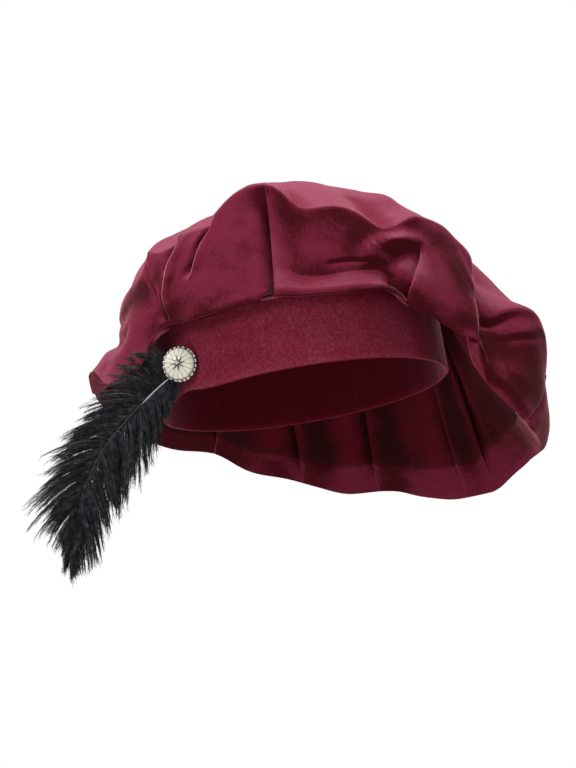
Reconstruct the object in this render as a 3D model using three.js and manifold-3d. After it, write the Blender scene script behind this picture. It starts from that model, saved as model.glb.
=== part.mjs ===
// Renaissance beret: a gathered velvet crown on a plain headband, with a round brooch and an ostrich plume.
// Millimetres, +Z up along the headband's axis. The origin is the middle of the head opening, level with its rim.
// The front of the hat faces -Y. Azimuth is measured from the front towards +X, in degrees.

import * as THREE from 'three';
import { mergeVertices } from 'three/addons/utils/BufferGeometryUtils.js';
import Module from 'manifold-3d';

// Driving dimensions of the headband. The opening suits a head of about 58 cm round.
const BAND_HALF_WIDTH = 90.9;
const BAND_HALF_LENGTH = 101.7;
const BAND_HEIGHT = 52;
const BAND_WALL = 2.4;
const BAND_COLUMNS = 76;

// The band's lower edge rises a little beside the brooch, where the pin pulls it up.
const RIM_LIFT = { azimuth: -47, height: 3.5, halfWidth: 9 };

// Driving dimensions of the crown.
const APEX_HEIGHT = 136;
const CLOTH = 1.8;
const CLOTH_GAP = 0.45;

// In a tight fold the inner face comes nearer to the outer one, down to this wall.
const THINNEST = 0.8;
const THINNING_PASSES = 10;

// How finely the crown is divided: steps across a panel, rows down the top and rows across the underside. The two
// columns at a pleat's edge lie one pleat step apart.
const PANEL_STEPS = 6;
const PLEAT_STEP = 3;
const TOP_ROWS = 15;
const UNDER_ROWS = 5;
const ROW_CROWDING = 1.35;

// Between the shaped points, the cloth rounds over near the apex and runs up to the band in a shallow curve. Each
// is a share of the way to the next point.
const APEX_FALL = 0.36;
const RETURN_REACH = 0.42;
const RETURN_RISE = 0.52;
const RETURN_CLEARANCE = 1.6;

// A panel between two pleats puffs out by this share of its width.
const PANEL_PUFF = 0.05;

// Brooch, on the front of the band towards the wearer's right.
const BROOCH_RADIUS = 11;
const BROOCH_CENTRE = new THREE.Vector3(-69.2, -74.4, 18.2);
const BROOCH_AZIMUTH = -26;
const BROOCH_SCALLOPS = 22;
const BROOCH_PLATE = 1.6;
const DOME_RADIUS = 9.2;
const DOME_HEIGHT = 2.6;
const STAR_POINTS = 8;
const STAR_RADIUS = 4.4;
const STAR_WAIST = 1.5;
const STAR_THICKNESS = 0.9;
const GEM_RADIUS = 1.5;
const FIT = 0.3;

// The post that carries the brooch: a washer inside the band, a stem and a ball under the brooch's plate.
const POST_RADIUS = 0.9;
const WASHER_RADIUS = 2.6;
const WASHER_THICKNESS = 0.8;
const BALL_RADIUS = 1.3;

// Plume. Its body is thinner towards root and tip, down to the given share of its thickness.
const QUILL_ROOT_RADIUS = 1.1;
const QUILL_TIP_RADIUS = 0.35;
const PLUME_THICKNESS = 13;
const PLUME_THIN_END = 0.35;

// The crown's cross-sections, 30 degrees apart from the front. Each row follows the cloth outwards from the apex:
// the shoulder, the outer face and the lowest edge, each as a radius and a height, and then how far along the
// cloth (0 at the apex, 1 at the band) the seam between the top and the underside lies.
const SECTIONS = [
  // shoulder  face      lowest    seam
  [92, 104, 114, 64, 108.5, 44.5, 0.86],
  [94, 99, 113, 60, 107.5, 41.5, 0.86],
  [101, 92, 124, 46, 115, 13, 0.84],
  [106, 86, 152, 24, 139, -26, 0.75],
  [112, 82, 153, 0, 145, -54, 0.84],
  [110, 84, 150, -10, 138, -60, 0.85],
  [105, 92, 147, 5, 135, -38, 0.845],
  [102, 97, 145, 20, 136, -10, 0.81],
  [98, 100, 136, 38, 135, 12, 0.76],
  [84, 98, 104, 62, 127, 30, 0.68],
  [80, 97, 103, 66, 105, 34, 0.6],
  [85, 105, 111, 70, 106, 45, 0.79],
];

// Where along the cloth the section's points lie.
const KNOTS = [0, 0.17, 0.36, 0.58, 0.76, 0.9, 1];

// Knife pleats. Azimuth of the folded edge at the band, at the outer face and at its end near the top; how far along
// the cloth it dies out; how far the edge lifts, how far the next panel is tucked below it, and how strong the
// pleat is on the underside.
const PLEATS = [
  // band  face   end   dies  lift tuck under
  [-62, -60, -50, 0.4, 3, 5, 0.1],
  [-44, -43, -34, 0.34, 3, 4.5, 0.1],
  [-4, -4.5, -2.5, 0.31, 1.5, 6, 0.1],
  [38, 39, 50, 0.4, 3, 10, 0.2],
  [64, 62, 58, 0.45, 2, 3, 0.3],
  [90, 92, 84, 0.6, 2, 5, 0.6],
  [113, 116, 104, 0.45, 2, 6, 0.8],
  [133, 134, 128, 0.5, 2, 6, 1],
  [160, 163, 150, 0.5, 2, 6, 1],
  [185, 184, 176, 0.5, 2, 6, 1],
  [212, 209, 200, 0.5, 2, 6, 1],
  [238, 235, 226, 0.45, 2, 6, 0.8],
  [262, 262, 252, 0.4, 3, 7, 0.6],
];

// Soft folds and dents. Each runs from one azimuth, place along the cloth and height to another; then come its width
// on the left of a falling fold or below a level one, its width on the other side, and how round its top is.
const FOLDS = [
  // the wavy crest between the top and the front
  [-22, 0.34, 5, -3, 0.31, 7, 16, 16, 2],
  [6, 0.26, -3, 11, 0.42, -6, 10, 10, 2],
  [16, 0.37, 3, 30, 0.38, 3, 12, 12, 2],
  [34, 0.26, -4, 38, 0.46, -13, 10, 10, 2],
  [48, 0.4, 4, 62, 0.42, 4, 12, 12, 2],
  // the hollow under the crest, and the ledge over the band
  [3, 0.54, -5, 30, 0.55, -10, 10, 14, 2],
  [2, 0.69, 3, 34, 0.66, 5, 8, 8, 1.5],
  // the dart in the left front panel
  [-24, 0.22, -9, -37, 0.58, -11, 11, 3, 1.5],
  [-18, 0.34, 3, -31, 0.6, 4, 3, 18, 1.3],
  // the roll beside the right front pleat
  [29, 0.585, 4, 44, 0.53, 6, 6, 6, 1.7],
  [30, 0.63, -4, 40, 0.61, -6, 5, 5, 1.7],
  // the right front panel stands over the right side
  [58, 0.46, 5, 62, 0.75, 10, 14, 3, 1.4],
  // the crest, tongue and slit on the right side
  [66, 0.6, 2, 90, 0.56, 6, 4, 16, 1.6],
  [67, 0.7, 5, 80, 0.62, 4, 4, 5, 1.7],
  [66, 0.745, -4, 86, 0.63, -8, 4, 4, 1.5],
  // the soft ridge down the right side, and the corner of the hem
  [67, 0.74, 4, 92, 0.75, 4, 7, 7, 1.6],
  [128, 0.74, 6, 138, 0.76, 9, 14, 14, 2],
];

// The plume: its quill from root to tip, and how far its barbs reach to the wearer's right and left at each point.
const PLUME = [
  // x     y    z     right left
  [-74, -68.4, 16.2, 18, 4],
  [-86, -69.4, 8, 26, 12],
  [-103, -69, -2, 30, 23],
  [-120, -66, -13.5, 33, 27],
  [-131, -64, -27, 31, 26],
  [-142, -62, -42.5, 28, 27],
  [-151, -60, -54, 27, 24],
  [-159, -58.5, -73.5, 19, 20],
  [-163, -57, -88, 11, 14],
  [-166, -56, -104, 3, 3],
];

const velvet = () => new THREE.MeshStandardMaterial({ color: 0x6d1a2e, roughness: 0.9, metalness: 0 });
const velvetUnder = () => new THREE.MeshStandardMaterial({ color: 0x4a0618, roughness: 0.9, metalness: 0 });
const silver = () => new THREE.MeshStandardMaterial({ color: 0xb9b4aa, roughness: 0.3, metalness: 1 });
const pearl = () => new THREE.MeshStandardMaterial({ color: 0xe9e2d2, roughness: 0.35, metalness: 0 });
const crystal = () => new THREE.MeshStandardMaterial({ color: 0xd9dde0, roughness: 0.1, metalness: 0 });
const steel = () => new THREE.MeshStandardMaterial({ color: 0x9a9a98, roughness: 0.4, metalness: 1 });
const quillHorn = () => new THREE.MeshStandardMaterial({ color: 0xc9ccd2, roughness: 0.4, metalness: 0 });
const barbs = () => new THREE.MeshStandardMaterial({ color: 0x15161a, roughness: 0.8, metalness: 0 });

const beret = new THREE.Group();

function add(name, geometry, material, parent = beret) {
  const mesh = new THREE.Mesh(geometry, material);
  mesh.name = name;
  parent.add(mesh);
  return mesh;
}

// Small helpers

function smooth(x, low, high) {
  const t = Math.min(1, Math.max(0, (x - low) / (high - low)));
  return t * t * (3 - 2 * t);
}

function range(count) {
  return Array.from({ length: count }, (_, i) => i);
}

function closedGeometry(points, triangles) {
  const geometry = new THREE.BufferGeometry();
  geometry.setAttribute('position', new THREE.Float32BufferAttribute(points.flatMap((p) => [p.x, p.y, p.z]), 3));
  geometry.setIndex(triangles.flat());
  return geometry;
}

// Two triangles for each cell of a grid whose point (i, j) has the number at(i, j).
function gridCells(columns, rows, at, wrapRows = false) {
  const cells = [];
  for (const i of range(columns)) {
    for (const j of range(wrapRows ? rows : rows - 1)) {
      const right = (i + 1) % columns;
      const next = (j + 1) % rows;
      cells.push([at(i, j), at(i, next), at(right, next)]);
      cells.push([at(i, j), at(right, next), at(right, j)]);
    }
  }
  return cells;
}

// The headband's outline

function bandRadius(azimuth, inset = 0) {
  const a = THREE.MathUtils.degToRad(azimuth);
  const across = Math.sin(a) / (BAND_HALF_WIDTH - inset);
  const along = Math.cos(a) / (BAND_HALF_LENGTH - inset);
  return 1 / Math.hypot(across, along);
}

function polar(azimuth, radius, z) {
  const a = THREE.MathUtils.degToRad(azimuth);
  return new THREE.Vector3(radius * Math.sin(a), -radius * Math.cos(a), z);
}

// The crown's plain surface, before pleats and folds

function sectionAt(azimuth) {
  const x = THREE.MathUtils.euclideanModulo(azimuth / 30, SECTIONS.length);
  const i = Math.floor(x) % SECTIONS.length;
  const t = x - Math.floor(x);
  const [p0, p1, p2, p3] = [-1, 0, 1, 2].map((k) => SECTIONS[(i + k + SECTIONS.length) % SECTIONS.length]);
  return p1.map((_, c) => {
    const linear = (p2[c] - p0[c]) * t;
    const square = (2 * p0[c] - 5 * p1[c] + 4 * p2[c] - p3[c]) * t * t;
    const cubic = (3 * p1[c] - p0[c] - 3 * p2[c] + p3[c]) * t * t * t;
    return 0.5 * (2 * p1[c] + linear + square + cubic);
  });
}

function meridian(azimuth) {
  const [shoulderR, shoulderZ, faceR, faceZ, lowR, lowZ] = sectionAt(azimuth);
  const band = bandRadius(azimuth);
  const nearBand = band + RETURN_CLEARANCE;
  return [
    [0, APEX_HEIGHT],
    [0.5 * shoulderR, APEX_HEIGHT - APEX_FALL * (APEX_HEIGHT - shoulderZ)],
    [shoulderR, shoulderZ],
    [faceR, faceZ],
    [lowR, lowZ],
    [nearBand + RETURN_REACH * (lowR - nearBand), lowZ + RETURN_RISE * (BAND_HEIGHT - lowZ)],
    [band + CLOTH_GAP, BAND_HEIGHT + CLOTH_GAP],
  ];
}

function slopes(values) {
  const last = KNOTS.length - 1;
  const rise = range(last).map((j) => (values[j + 1] - values[j]) / (KNOTS[j + 1] - KNOTS[j]));
  return KNOTS.map((_, j) => {
    if (j === 0) return rise[0];
    if (j === last) return rise[last - 1];
    const before = KNOTS[j] - KNOTS[j - 1];
    const after = KNOTS[j + 1] - KNOTS[j];
    return (after * rise[j - 1] + before * rise[j]) / (after + before);
  });
}

function hermite(values, tangents, v) {
  let j = 0;
  while (j < KNOTS.length - 2 && v >= KNOTS[j + 1]) j += 1;
  const h = KNOTS[j + 1] - KNOTS[j];
  const t = (v - KNOTS[j]) / h;
  const [t2, t3] = [t * t, t * t * t];
  const ends = (2 * t3 - 3 * t2 + 1) * values[j] + (3 * t2 - 2 * t3) * values[j + 1];
  return ends + h * ((t3 - 2 * t2 + t) * tangents[j] + (t3 - t2) * tangents[j + 1]);
}

function plainPoint(azimuth, v) {
  const rows = meridian(azimuth);
  const radii = rows.map((row) => row[0]);
  const heights = rows.map((row) => row[1]);
  const heightSlopes = slopes(heights);
  heightSlopes[0] = 0;
  return polar(azimuth, hermite(radii, slopes(radii), v), hermite(heights, heightSlopes, v));
}

function plainSteps(azimuth, v) {
  const d = 0.001;
  const turn = THREE.MathUtils.radToDeg(d);
  const around = plainPoint(azimuth + turn, v).sub(plainPoint(azimuth - turn, v)).divideScalar(2 * turn);
  const low = Math.max(0, v - d);
  const high = Math.min(1, v + d);
  const down = plainPoint(azimuth, high).sub(plainPoint(azimuth, low)).divideScalar(high - low);
  return { around, down };
}

function plainNormal(azimuth, v) {
  const { around, down } = plainSteps(azimuth, v);
  return down.cross(around).normalize();
}

// Folds are laid out on the cloth as straight lines, in millimetres around and down the crown at their middle.
const foldLines = FOLDS.map(([a0, v0, h0, a1, v1, h1, sideA, sideB, roundness]) => {
  const middle = (a0 + a1) / 2;
  const steps = plainSteps(middle, (v0 + v1) / 2);
  const scale = { around: steps.around.length(), down: steps.down.length() };
  const run = { around: (a1 - a0) * scale.around, down: (v1 - v0) * scale.down };
  const length = Math.hypot(run.around, run.down);
  return { a0, v0, h0, h1, sideA, sideB, roundness, middle, scale, run, length };
});

function foldHeight(azimuth, v) {
  let height = 0;
  for (const fold of foldLines) {
    const near = THREE.MathUtils.euclideanModulo(azimuth - fold.middle + 180, 360) - 180 + fold.middle;
    const around = (near - fold.a0) * fold.scale.around;
    const down = (v - fold.v0) * fold.scale.down;
    const along = (around * fold.run.around + down * fold.run.down) / fold.length ** 2;
    const across = (fold.run.around * down - fold.run.down * around) / fold.length;
    const inside = Math.min(1, Math.max(0, along));
    const width = across > 0 ? fold.sideA : fold.sideB;
    const beyond = (Math.abs(along - inside) * fold.length) / (0.5 * (fold.sideA + fold.sideB));
    const profile = Math.exp(-(Math.abs(across / width) ** fold.roundness) - beyond * beyond);
    height += (fold.h0 + (fold.h1 - fold.h0) * inside) * profile;
  }
  return height;
}

// Pleats, in order around the crown
const pleats = PLEATS.map(([band, face, end, dies, lift, tuck, under]) => {
  const start = THREE.MathUtils.euclideanModulo(band, 360);
  return { band: start, face: start + face - band, end: start + end - band, dies, lift, tuck, under };
}).sort((a, b) => a.band - b.band);

function pleatAzimuth(pleat, v) {
  const toBand = smooth(v, 0.62, 1);
  const toEnd = 1 - smooth(v, 0.1, 0.58);
  return pleat.face + (pleat.band - pleat.face) * toBand + (pleat.end - pleat.face) * toEnd;
}

function pleatStrength(pleat, v) {
  const outside = smooth(v, pleat.dies, pleat.dies + 0.22) * (1 - smooth(v, 0.54, 0.7));
  const below = pleat.under * smooth(v, 0.76, 0.9) * (1 - smooth(v, 0.93, 0.985));
  return outside + below;
}

// A point of the crown's outer surface: on panel k, a share s of the way across it, at v along the cloth.
function crownPoint(k, s, v) {
  const pleat = pleats[k];
  const next = pleats[(k + 1) % pleats.length];
  const turn = k + 1 === pleats.length ? 360 : 0;
  const from = pleatAzimuth(pleat, v);
  const to = pleatAzimuth(next, v) + turn;
  const here = plainPoint(to, v);
  const radius = Math.max(8, Math.hypot(here.x, here.y));
  const step = THREE.MathUtils.radToDeg(PLEAT_STEP / radius) * smooth(v, 0.06, 0.3);
  const azimuth = from + step / 2 + (to - from - step) * s;
  const strength = pleatStrength(pleat, v);
  const nextStrength = pleatStrength(next, v);
  const lifted = pleat.lift * strength * (1 - smooth(s, 0, 0.35));
  const tucked = next.tuck * nextStrength * smooth(s, 0.55, 1);
  const soft = 0.5 * (strength + nextStrength) + 0.35 * smooth(v, 0.5, 0.7) * (1 - smooth(v, 0.8, 0.95));
  const width = THREE.MathUtils.degToRad(to - from) * radius;
  const puff = PANEL_PUFF * width * Math.min(1, soft) * Math.sin(Math.PI * s);
  const folded = foldHeight(azimuth, v) * (1 - smooth(v, 0.92, 0.99));
  const point = plainPoint(azimuth, v);
  const offset = withinRoom(lifted - tucked + puff + folded, point, azimuth, v);
  return point.addScaledVector(plainNormal(azimuth, v), offset);
}

// Keeps an offset of the cloth within the space it has. The outer face may dent inwards until it meets the
// turned-under edge behind it, and is free above the band; the underside may bulge until it meets the band.
function withinRoom(offset, point, azimuth, v) {
  const gap = Math.hypot(point.x, point.y) - bandRadius(azimuth);
  const dent = gap - 2 * CLOTH - 2 + 40 * smooth(point.z, BAND_HEIGHT + 4, BAND_HEIGHT + 30);
  const bulge = Math.max(0, gap - 1);
  return v < 0.76 ? Math.max(offset, -Math.max(0, dent)) : Math.min(offset, bulge);
}

function seamAt(k, s) {
  const next = pleats[(k + 1) % pleats.length];
  const turn = k + 1 === pleats.length ? 360 : 0;
  return sectionAt(pleats[k].face + (next.face + turn - pleats[k].face) * s)[6];
}

// A cloth wall between an outer and an inner grid of points, both closed around the hat. With an apex, the first row
// of each grid closes in one point.
function clothWall(outer, inner, apex) {
  const rows = outer[0].length;
  const count = outer.length;
  const at = (i, j) => i * rows + j;
  const cap = range(count).map((i) => [at((i + 1) % count, 0), count * rows, at(i, 0)]);
  const outside = [...gridCells(count, rows, at), ...(apex ? cap : [])];
  const shift = count * rows + (apex ? 1 : 0);
  const inside = outside.map(([a, b, c]) => [a + shift, c + shift, b + shift]);
  const edge = (j, flip) => range(count).flatMap((i) => {
    const [a, b] = [at(i, j), at((i + 1) % count, j)];
    const quad = [[a, a + shift, b + shift], [a, b + shift, b]];
    return flip ? quad.map(([p, q, r]) => [p, r, q]) : quad;
  });
  const rims = [...edge(rows - 1, false), ...(apex ? [] : edge(0, true))];
  const points = [...outer.flat(), ...(apex ? [apex.outer] : []), ...inner.flat(), ...(apex ? [apex.inner] : [])];
  return closedGeometry(points, [...outside, ...inside, ...rims]);
}

// The rows lie closer together towards the folded edge, where the cloth bends most.
function rowPlaces(seam) {
  const top = range(TOP_ROWS).map((j) => seam * (1 - (1 - (j + 1) / TOP_ROWS) ** ROW_CROWDING));
  const under = range(UNDER_ROWS).map((j) => seam + ((1 - seam) * (j + 1)) / UNDER_ROWS);
  return [...top, ...under];
}

function crownColumns() {
  return range(pleats.length).flatMap((k) =>
    range(PANEL_STEPS + 1).map((i) => {
      const s = i / PANEL_STEPS;
      return rowPlaces(seamAt(k, s)).map((v) => crownPoint(k, s, v));
    }),
  );
}

// How thick the cloth is at each point: in a tight fold it thins until the inner face no longer doubles back.
function thicknesses(columns, normalAt) {
  const thickness = columns.map((column) => column.map(() => CLOTH));
  const inner = (i, j) => columns[i][j].clone().addScaledVector(normalAt(i, j), -thickness[i][j]);
  for (const pass of range(THINNING_PASSES)) {
    const tight = [];
    for (const i of range(columns.length)) {
      for (const j of range(columns[0].length)) {
        for (const [m, n] of [[(i + 1) % columns.length, j], [i, j + 1]]) {
          if (n >= columns[0].length) continue;
          const outerStep = columns[m][n].clone().sub(columns[i][j]);
          const innerStep = inner(m, n).sub(inner(i, j));
          if (innerStep.dot(outerStep) < 0.25 * outerStep.lengthSq()) tight.push([i, j], [m, n]);
        }
      }
    }
    if (!tight.length) break;
    for (const [i, j] of tight) thickness[i][j] = Math.max(THINNEST, 0.9 * thickness[i][j]);
  }
  return thickness;
}

// the inner face of the cloth, a wall's thickness inside the outer one
function lining(columns) {
  const rows = columns[0].length;
  const skin = closedGeometry(columns.flat(), gridCells(columns.length, rows, (i, j) => i * rows + j));
  skin.computeVertexNormals();
  const normals = skin.getAttribute('normal');
  const normalAt = (i, j) => new THREE.Vector3().fromBufferAttribute(normals, i * rows + j);
  const thickness = thicknesses(columns, normalAt);
  return columns.map((column, i) =>
    column.map((point, j) => point.clone().addScaledVector(normalAt(i, j), -thickness[i][j])),
  );
}

// the rows from one to another of each column; the underside starts a small gap beyond the seam
const rowsOf = (columns, from, to) => columns.map((column) => column.slice(from, to).map((point) => point.clone()));

function openSeam(columns) {
  for (const column of columns) {
    column[0].add(column[1].clone().sub(column[0]).setLength(CLOTH_GAP));
  }
  return columns;
}

const cloth = crownColumns();
const clothInside = lining(cloth);
const apex = { outer: new THREE.Vector3(0, 0, APEX_HEIGHT), inner: new THREE.Vector3(0, 0, APEX_HEIGHT - CLOTH) };
const topOf = (columns) => rowsOf(columns, 0, TOP_ROWS);
const underOf = (columns) => openSeam(rowsOf(columns, TOP_ROWS - 1));

add('crown_top', clothWall(topOf(cloth), topOf(clothInside), apex), velvet());
add('crown_under', clothWall(underOf(cloth), underOf(clothInside), null), velvetUnder());

// The headband: one turn of doubled velvet, folded round at its lower edge

function rimHeight(azimuth) {
  const away = THREE.MathUtils.euclideanModulo(azimuth - RIM_LIFT.azimuth + 180, 360) - 180;
  return RIM_LIFT.height * Math.exp(-((away / RIM_LIFT.halfWidth) ** 2));
}

function bandGeometry() {
  const edge = BAND_WALL / 2;
  const round = edge * Math.SQRT1_2;
  const profile = [
    [0, BAND_HEIGHT],
    [0, 0.5 * BAND_HEIGHT],
    [0, edge],
    [edge - round, edge - round],
    [edge, 0],
    [edge + round, edge - round],
    [BAND_WALL, edge],
    [BAND_WALL, 0.5 * BAND_HEIGHT],
    [BAND_WALL, BAND_HEIGHT],
  ];
  const points = range(BAND_COLUMNS).flatMap((i) => {
    const azimuth = (360 * i) / BAND_COLUMNS;
    return profile.map(([inset, z]) => {
      const lift = rimHeight(azimuth) * (1 - z / BAND_HEIGHT);
      return polar(azimuth, bandRadius(azimuth, inset), z + lift);
    });
  });
  return closedGeometry(points, gridCells(BAND_COLUMNS, profile.length, (i, j) => i * profile.length + j, true));
}

const wasm = await Module();
wasm.setup();

function toSolid(geometry) {
  const plain = geometry.clone();
  plain.deleteAttribute('normal');
  plain.deleteAttribute('uv');
  const merged = mergeVertices(plain, 1e-4);
  const vertProperties = new Float32Array(merged.getAttribute('position').array);
  const triVerts = new Uint32Array(merged.getIndex().array);
  return new wasm.Manifold(new wasm.Mesh({ numProp: 3, vertProperties, triVerts }));
}

function toGeometry(solid) {
  const mesh = solid.getMesh();
  const geometry = new THREE.BufferGeometry();
  geometry.setAttribute('position', new THREE.BufferAttribute(new Float32Array(mesh.vertProperties), 3));
  geometry.setIndex(new THREE.BufferAttribute(new Uint32Array(mesh.triVerts), 1));
  return geometry;
}

// The post stands square to the band, behind the brooch: a flat washer inside, a stem through the band and a ball
// that the brooch's plate is soldered to. Its profile runs along the axis, out of the hat.
const brooch = new THREE.Group();
brooch.position.copy(BROOCH_CENTRE);
brooch.rotation.order = 'ZXY';
brooch.rotation.z = THREE.MathUtils.degToRad(BROOCH_AZIMUTH);
brooch.rotation.x = Math.PI / 2;
beret.add(brooch);

const postFoot = (() => {
  // the nearest point of the band's outer face to the brooch, at the brooch's height
  let best = { distance: Infinity };
  for (const azimuth of range(900).map((i) => -90 + i * 0.1)) {
    const point = polar(azimuth, bandRadius(azimuth), BROOCH_CENTRE.z);
    const distance = point.distanceTo(BROOCH_CENTRE);
    if (distance < best.distance) best = { distance, point };
  }
  return best;
})();
const postAxis = BROOCH_CENTRE.clone().sub(postFoot.point).normalize();

function postProfile() {
  const washerFace = -BAND_WALL - FIT - 0.1;
  const ballCentre = postFoot.distance - FIT - BALL_RADIUS * 1.25;
  const neck = Math.sqrt(BALL_RADIUS ** 2 - POST_RADIUS ** 2);
  const neckAngle = Math.asin(POST_RADIUS / BALL_RADIUS);
  const ball = range(6).map((i) => {
    const angle = neckAngle + ((Math.PI - neckAngle) * (i + 1)) / 6;
    return new THREE.Vector2(BALL_RADIUS * Math.sin(angle), ballCentre - BALL_RADIUS * Math.cos(angle));
  });
  ball[ball.length - 1].x = 0;
  return [
    new THREE.Vector2(0, washerFace - WASHER_THICKNESS),
    new THREE.Vector2(WASHER_RADIUS, washerFace - WASHER_THICKNESS),
    new THREE.Vector2(WASHER_RADIUS, washerFace),
    new THREE.Vector2(POST_RADIUS, washerFace),
    new THREE.Vector2(POST_RADIUS, ballCentre - neck),
    ...ball,
  ];
}

const along = new THREE.Quaternion().setFromUnitVectors(new THREE.Vector3(0, 1, 0), postAxis);
const post = add('brooch_post', new THREE.LatheGeometry(postProfile(), 16), steel());
post.position.copy(postFoot.point);
post.quaternion.copy(along);

// The hole for the post through the band
const drill = new THREE.CylinderGeometry(POST_RADIUS + FIT, POST_RADIUS + FIT, 4 * BAND_WALL, 16);
drill.applyQuaternion(along);
drill.translate(postFoot.point.x, postFoot.point.y, postFoot.point.z);
add('band', toGeometry(toSolid(bandGeometry()).subtract(toSolid(drill))), velvet());

// The brooch, in its own frame: its back lies at z = 0 and it faces +Z.

// a silver plate with a scalloped edge and a raised rim around the dome
function scallopedPlate() {
  const outline = new THREE.Shape();
  const steps = BROOCH_SCALLOPS * 4;
  for (const i of range(steps)) {
    const angle = (2 * Math.PI * i) / steps;
    const radius = BROOCH_RADIUS - 0.5 + 0.5 * Math.abs(Math.cos((BROOCH_SCALLOPS * angle) / 2));
    if (i === 0) outline.moveTo(radius, 0);
    else outline.lineTo(radius * Math.cos(angle), radius * Math.sin(angle));
  }
  outline.closePath();
  return new THREE.ExtrudeGeometry(outline, { depth: BROOCH_PLATE, bevelEnabled: false });
}

// a low dome, flat underneath
function domeProfile() {
  const arc = range(9).map((i) => {
    const angle = (Math.PI / 2) * (i / 8);
    return new THREE.Vector2(DOME_RADIUS * Math.cos(angle), DOME_HEIGHT * Math.sin(angle));
  });
  arc[8].x = 0;
  return [new THREE.Vector2(0, -0.01), new THREE.Vector2(DOME_RADIUS, -0.01), ...arc.slice(1)];
}

function starShape() {
  const outline = new THREE.Shape();
  for (const i of range(2 * STAR_POINTS)) {
    const angle = (Math.PI * i) / STAR_POINTS;
    const radius = i % 2 ? STAR_WAIST : STAR_RADIUS;
    if (i === 0) outline.moveTo(radius, 0);
    else outline.lineTo(radius * Math.cos(angle), radius * Math.sin(angle));
  }
  outline.closePath();
  return outline;
}

const plateTop = BROOCH_PLATE + FIT;
const starBack = plateTop + DOME_HEIGHT + FIT;

add('brooch_base', scallopedPlate(), silver(), brooch);

const dome = add('brooch_dome', new THREE.LatheGeometry(domeProfile(), 48), pearl(), brooch);
dome.rotation.x = Math.PI / 2;
dome.position.z = plateTop + 0.01;

const star = new THREE.ExtrudeGeometry(starShape(), { depth: STAR_THICKNESS, bevelEnabled: false });
const starMesh = add('brooch_star', star, silver(), brooch);
starMesh.position.z = starBack;

const gem = add('brooch_gem', new THREE.OctahedronGeometry(GEM_RADIUS, 1), crystal(), brooch);
gem.position.z = starBack + STAR_THICKNESS + FIT + GEM_RADIUS;

// The plume

const plumeRows = PLUME.map(([x, y, z, right, left]) => ({ point: new THREE.Vector3(x, y, z), right, left }));
const quillCurve = new THREE.CatmullRomCurve3(plumeRows.map((row) => row.point), false, 'centripetal');

function reach(key, t) {
  const x = t * (plumeRows.length - 1);
  const i = Math.min(plumeRows.length - 2, Math.floor(x));
  return THREE.MathUtils.lerp(plumeRows[i][key], plumeRows[i + 1][key], x - i);
}

// the frame of the plume at a share t of its length: along it, across it to the wearer's left, and out of the hat
function plumeFrame(t) {
  const point = quillCurve.getPoint(t);
  const tangent = quillCurve.getTangent(t);
  const across = new THREE.Vector3(0, -1, 0).cross(tangent).normalize();
  const out = tangent.clone().cross(across).normalize();
  return { point, tangent, across, out };
}

// a tapered tube with closed ends
function taperedTube(steps, sides) {
  const rings = range(steps + 1).map((j) => {
    const t = j / steps;
    const { point, across, out } = plumeFrame(t);
    const radius = THREE.MathUtils.lerp(QUILL_ROOT_RADIUS, QUILL_TIP_RADIUS, t);
    return range(sides).map((i) => {
      const angle = (-2 * Math.PI * i) / sides;
      return point.clone().addScaledVector(across, radius * Math.cos(angle)).addScaledVector(out, radius * Math.sin(angle));
    });
  });
  return closedRings(rings);
}

function closedRings(rings) {
  const sides = rings[0].length;
  const last = rings.length - 1;
  const points = [...rings.flat(), middle(rings[0]), middle(rings[last])];
  const at = (i, j) => j * sides + i;
  const foot = points.length - 2;
  const tip = points.length - 1;
  const caps = range(sides).flatMap((i) => {
    const next = (i + 1) % sides;
    return [[at(next, 0), foot, at(i, 0)], [at(i, last), tip, at(next, last)]];
  });
  const walls = gridCells(sides, rings.length, at);
  return closedGeometry(points, [...walls, ...caps]);
}

function middle(points) {
  return points.reduce((sum, p) => sum.add(p), new THREE.Vector3()).divideScalar(points.length);
}

// a flat leaf-shaped body behind the quill, as thick as the barbs are deep
function plumeBody(steps, sides) {
  const rings = range(steps + 1).map((j) => {
    const t = 0.02 + (0.98 * j) / steps;
    const { point, across, out } = plumeFrame(t);
    const fullness = Math.sin(Math.PI * Math.min(1, 0.12 + 0.86 * t)) ** 0.7;
    const depth = PLUME_THICKNESS * (PLUME_THIN_END + (1 - PLUME_THIN_END) * fullness);
    const centre = point.clone().addScaledVector(out, -(0.5 * depth + QUILL_ROOT_RADIUS + FIT));
    return range(sides).map((i) => {
      const angle = (-2 * Math.PI * i) / sides;
      const side = Math.cos(angle);
      const width = reach(side < 0 ? 'right' : 'left', t);
      return centre.clone().addScaledVector(across, width * side).addScaledVector(out, 0.5 * depth * Math.sin(angle));
    });
  });
  return closedRings(rings);
}

add('quill', taperedTube(26, 8), quillHorn());
add('plume', plumeBody(22, 16), barbs());

export default beret;
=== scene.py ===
"""Renaissance beret: a gathered velvet crown on a headband, with a round brooch and a black ostrich plume.

Metres, +Z up along the headband's axis. The front of the hat faces -Y and the crown slouches towards +X, the
wearer's left. Azimuths are in degrees, 0 at the front and growing towards +X. The tables of the crown and the
plume, and the sizes in the classes that don't say otherwise, are in millimetres, as on a hatter's sheet.
"""

import logging
import math
import random
from dataclasses import dataclass, field
from enum import Enum
from typing import Any, Iterable, NamedTuple, Sequence

import bmesh
import bpy
import numpy as np
from mathutils import Matrix, Vector, noise


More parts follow.
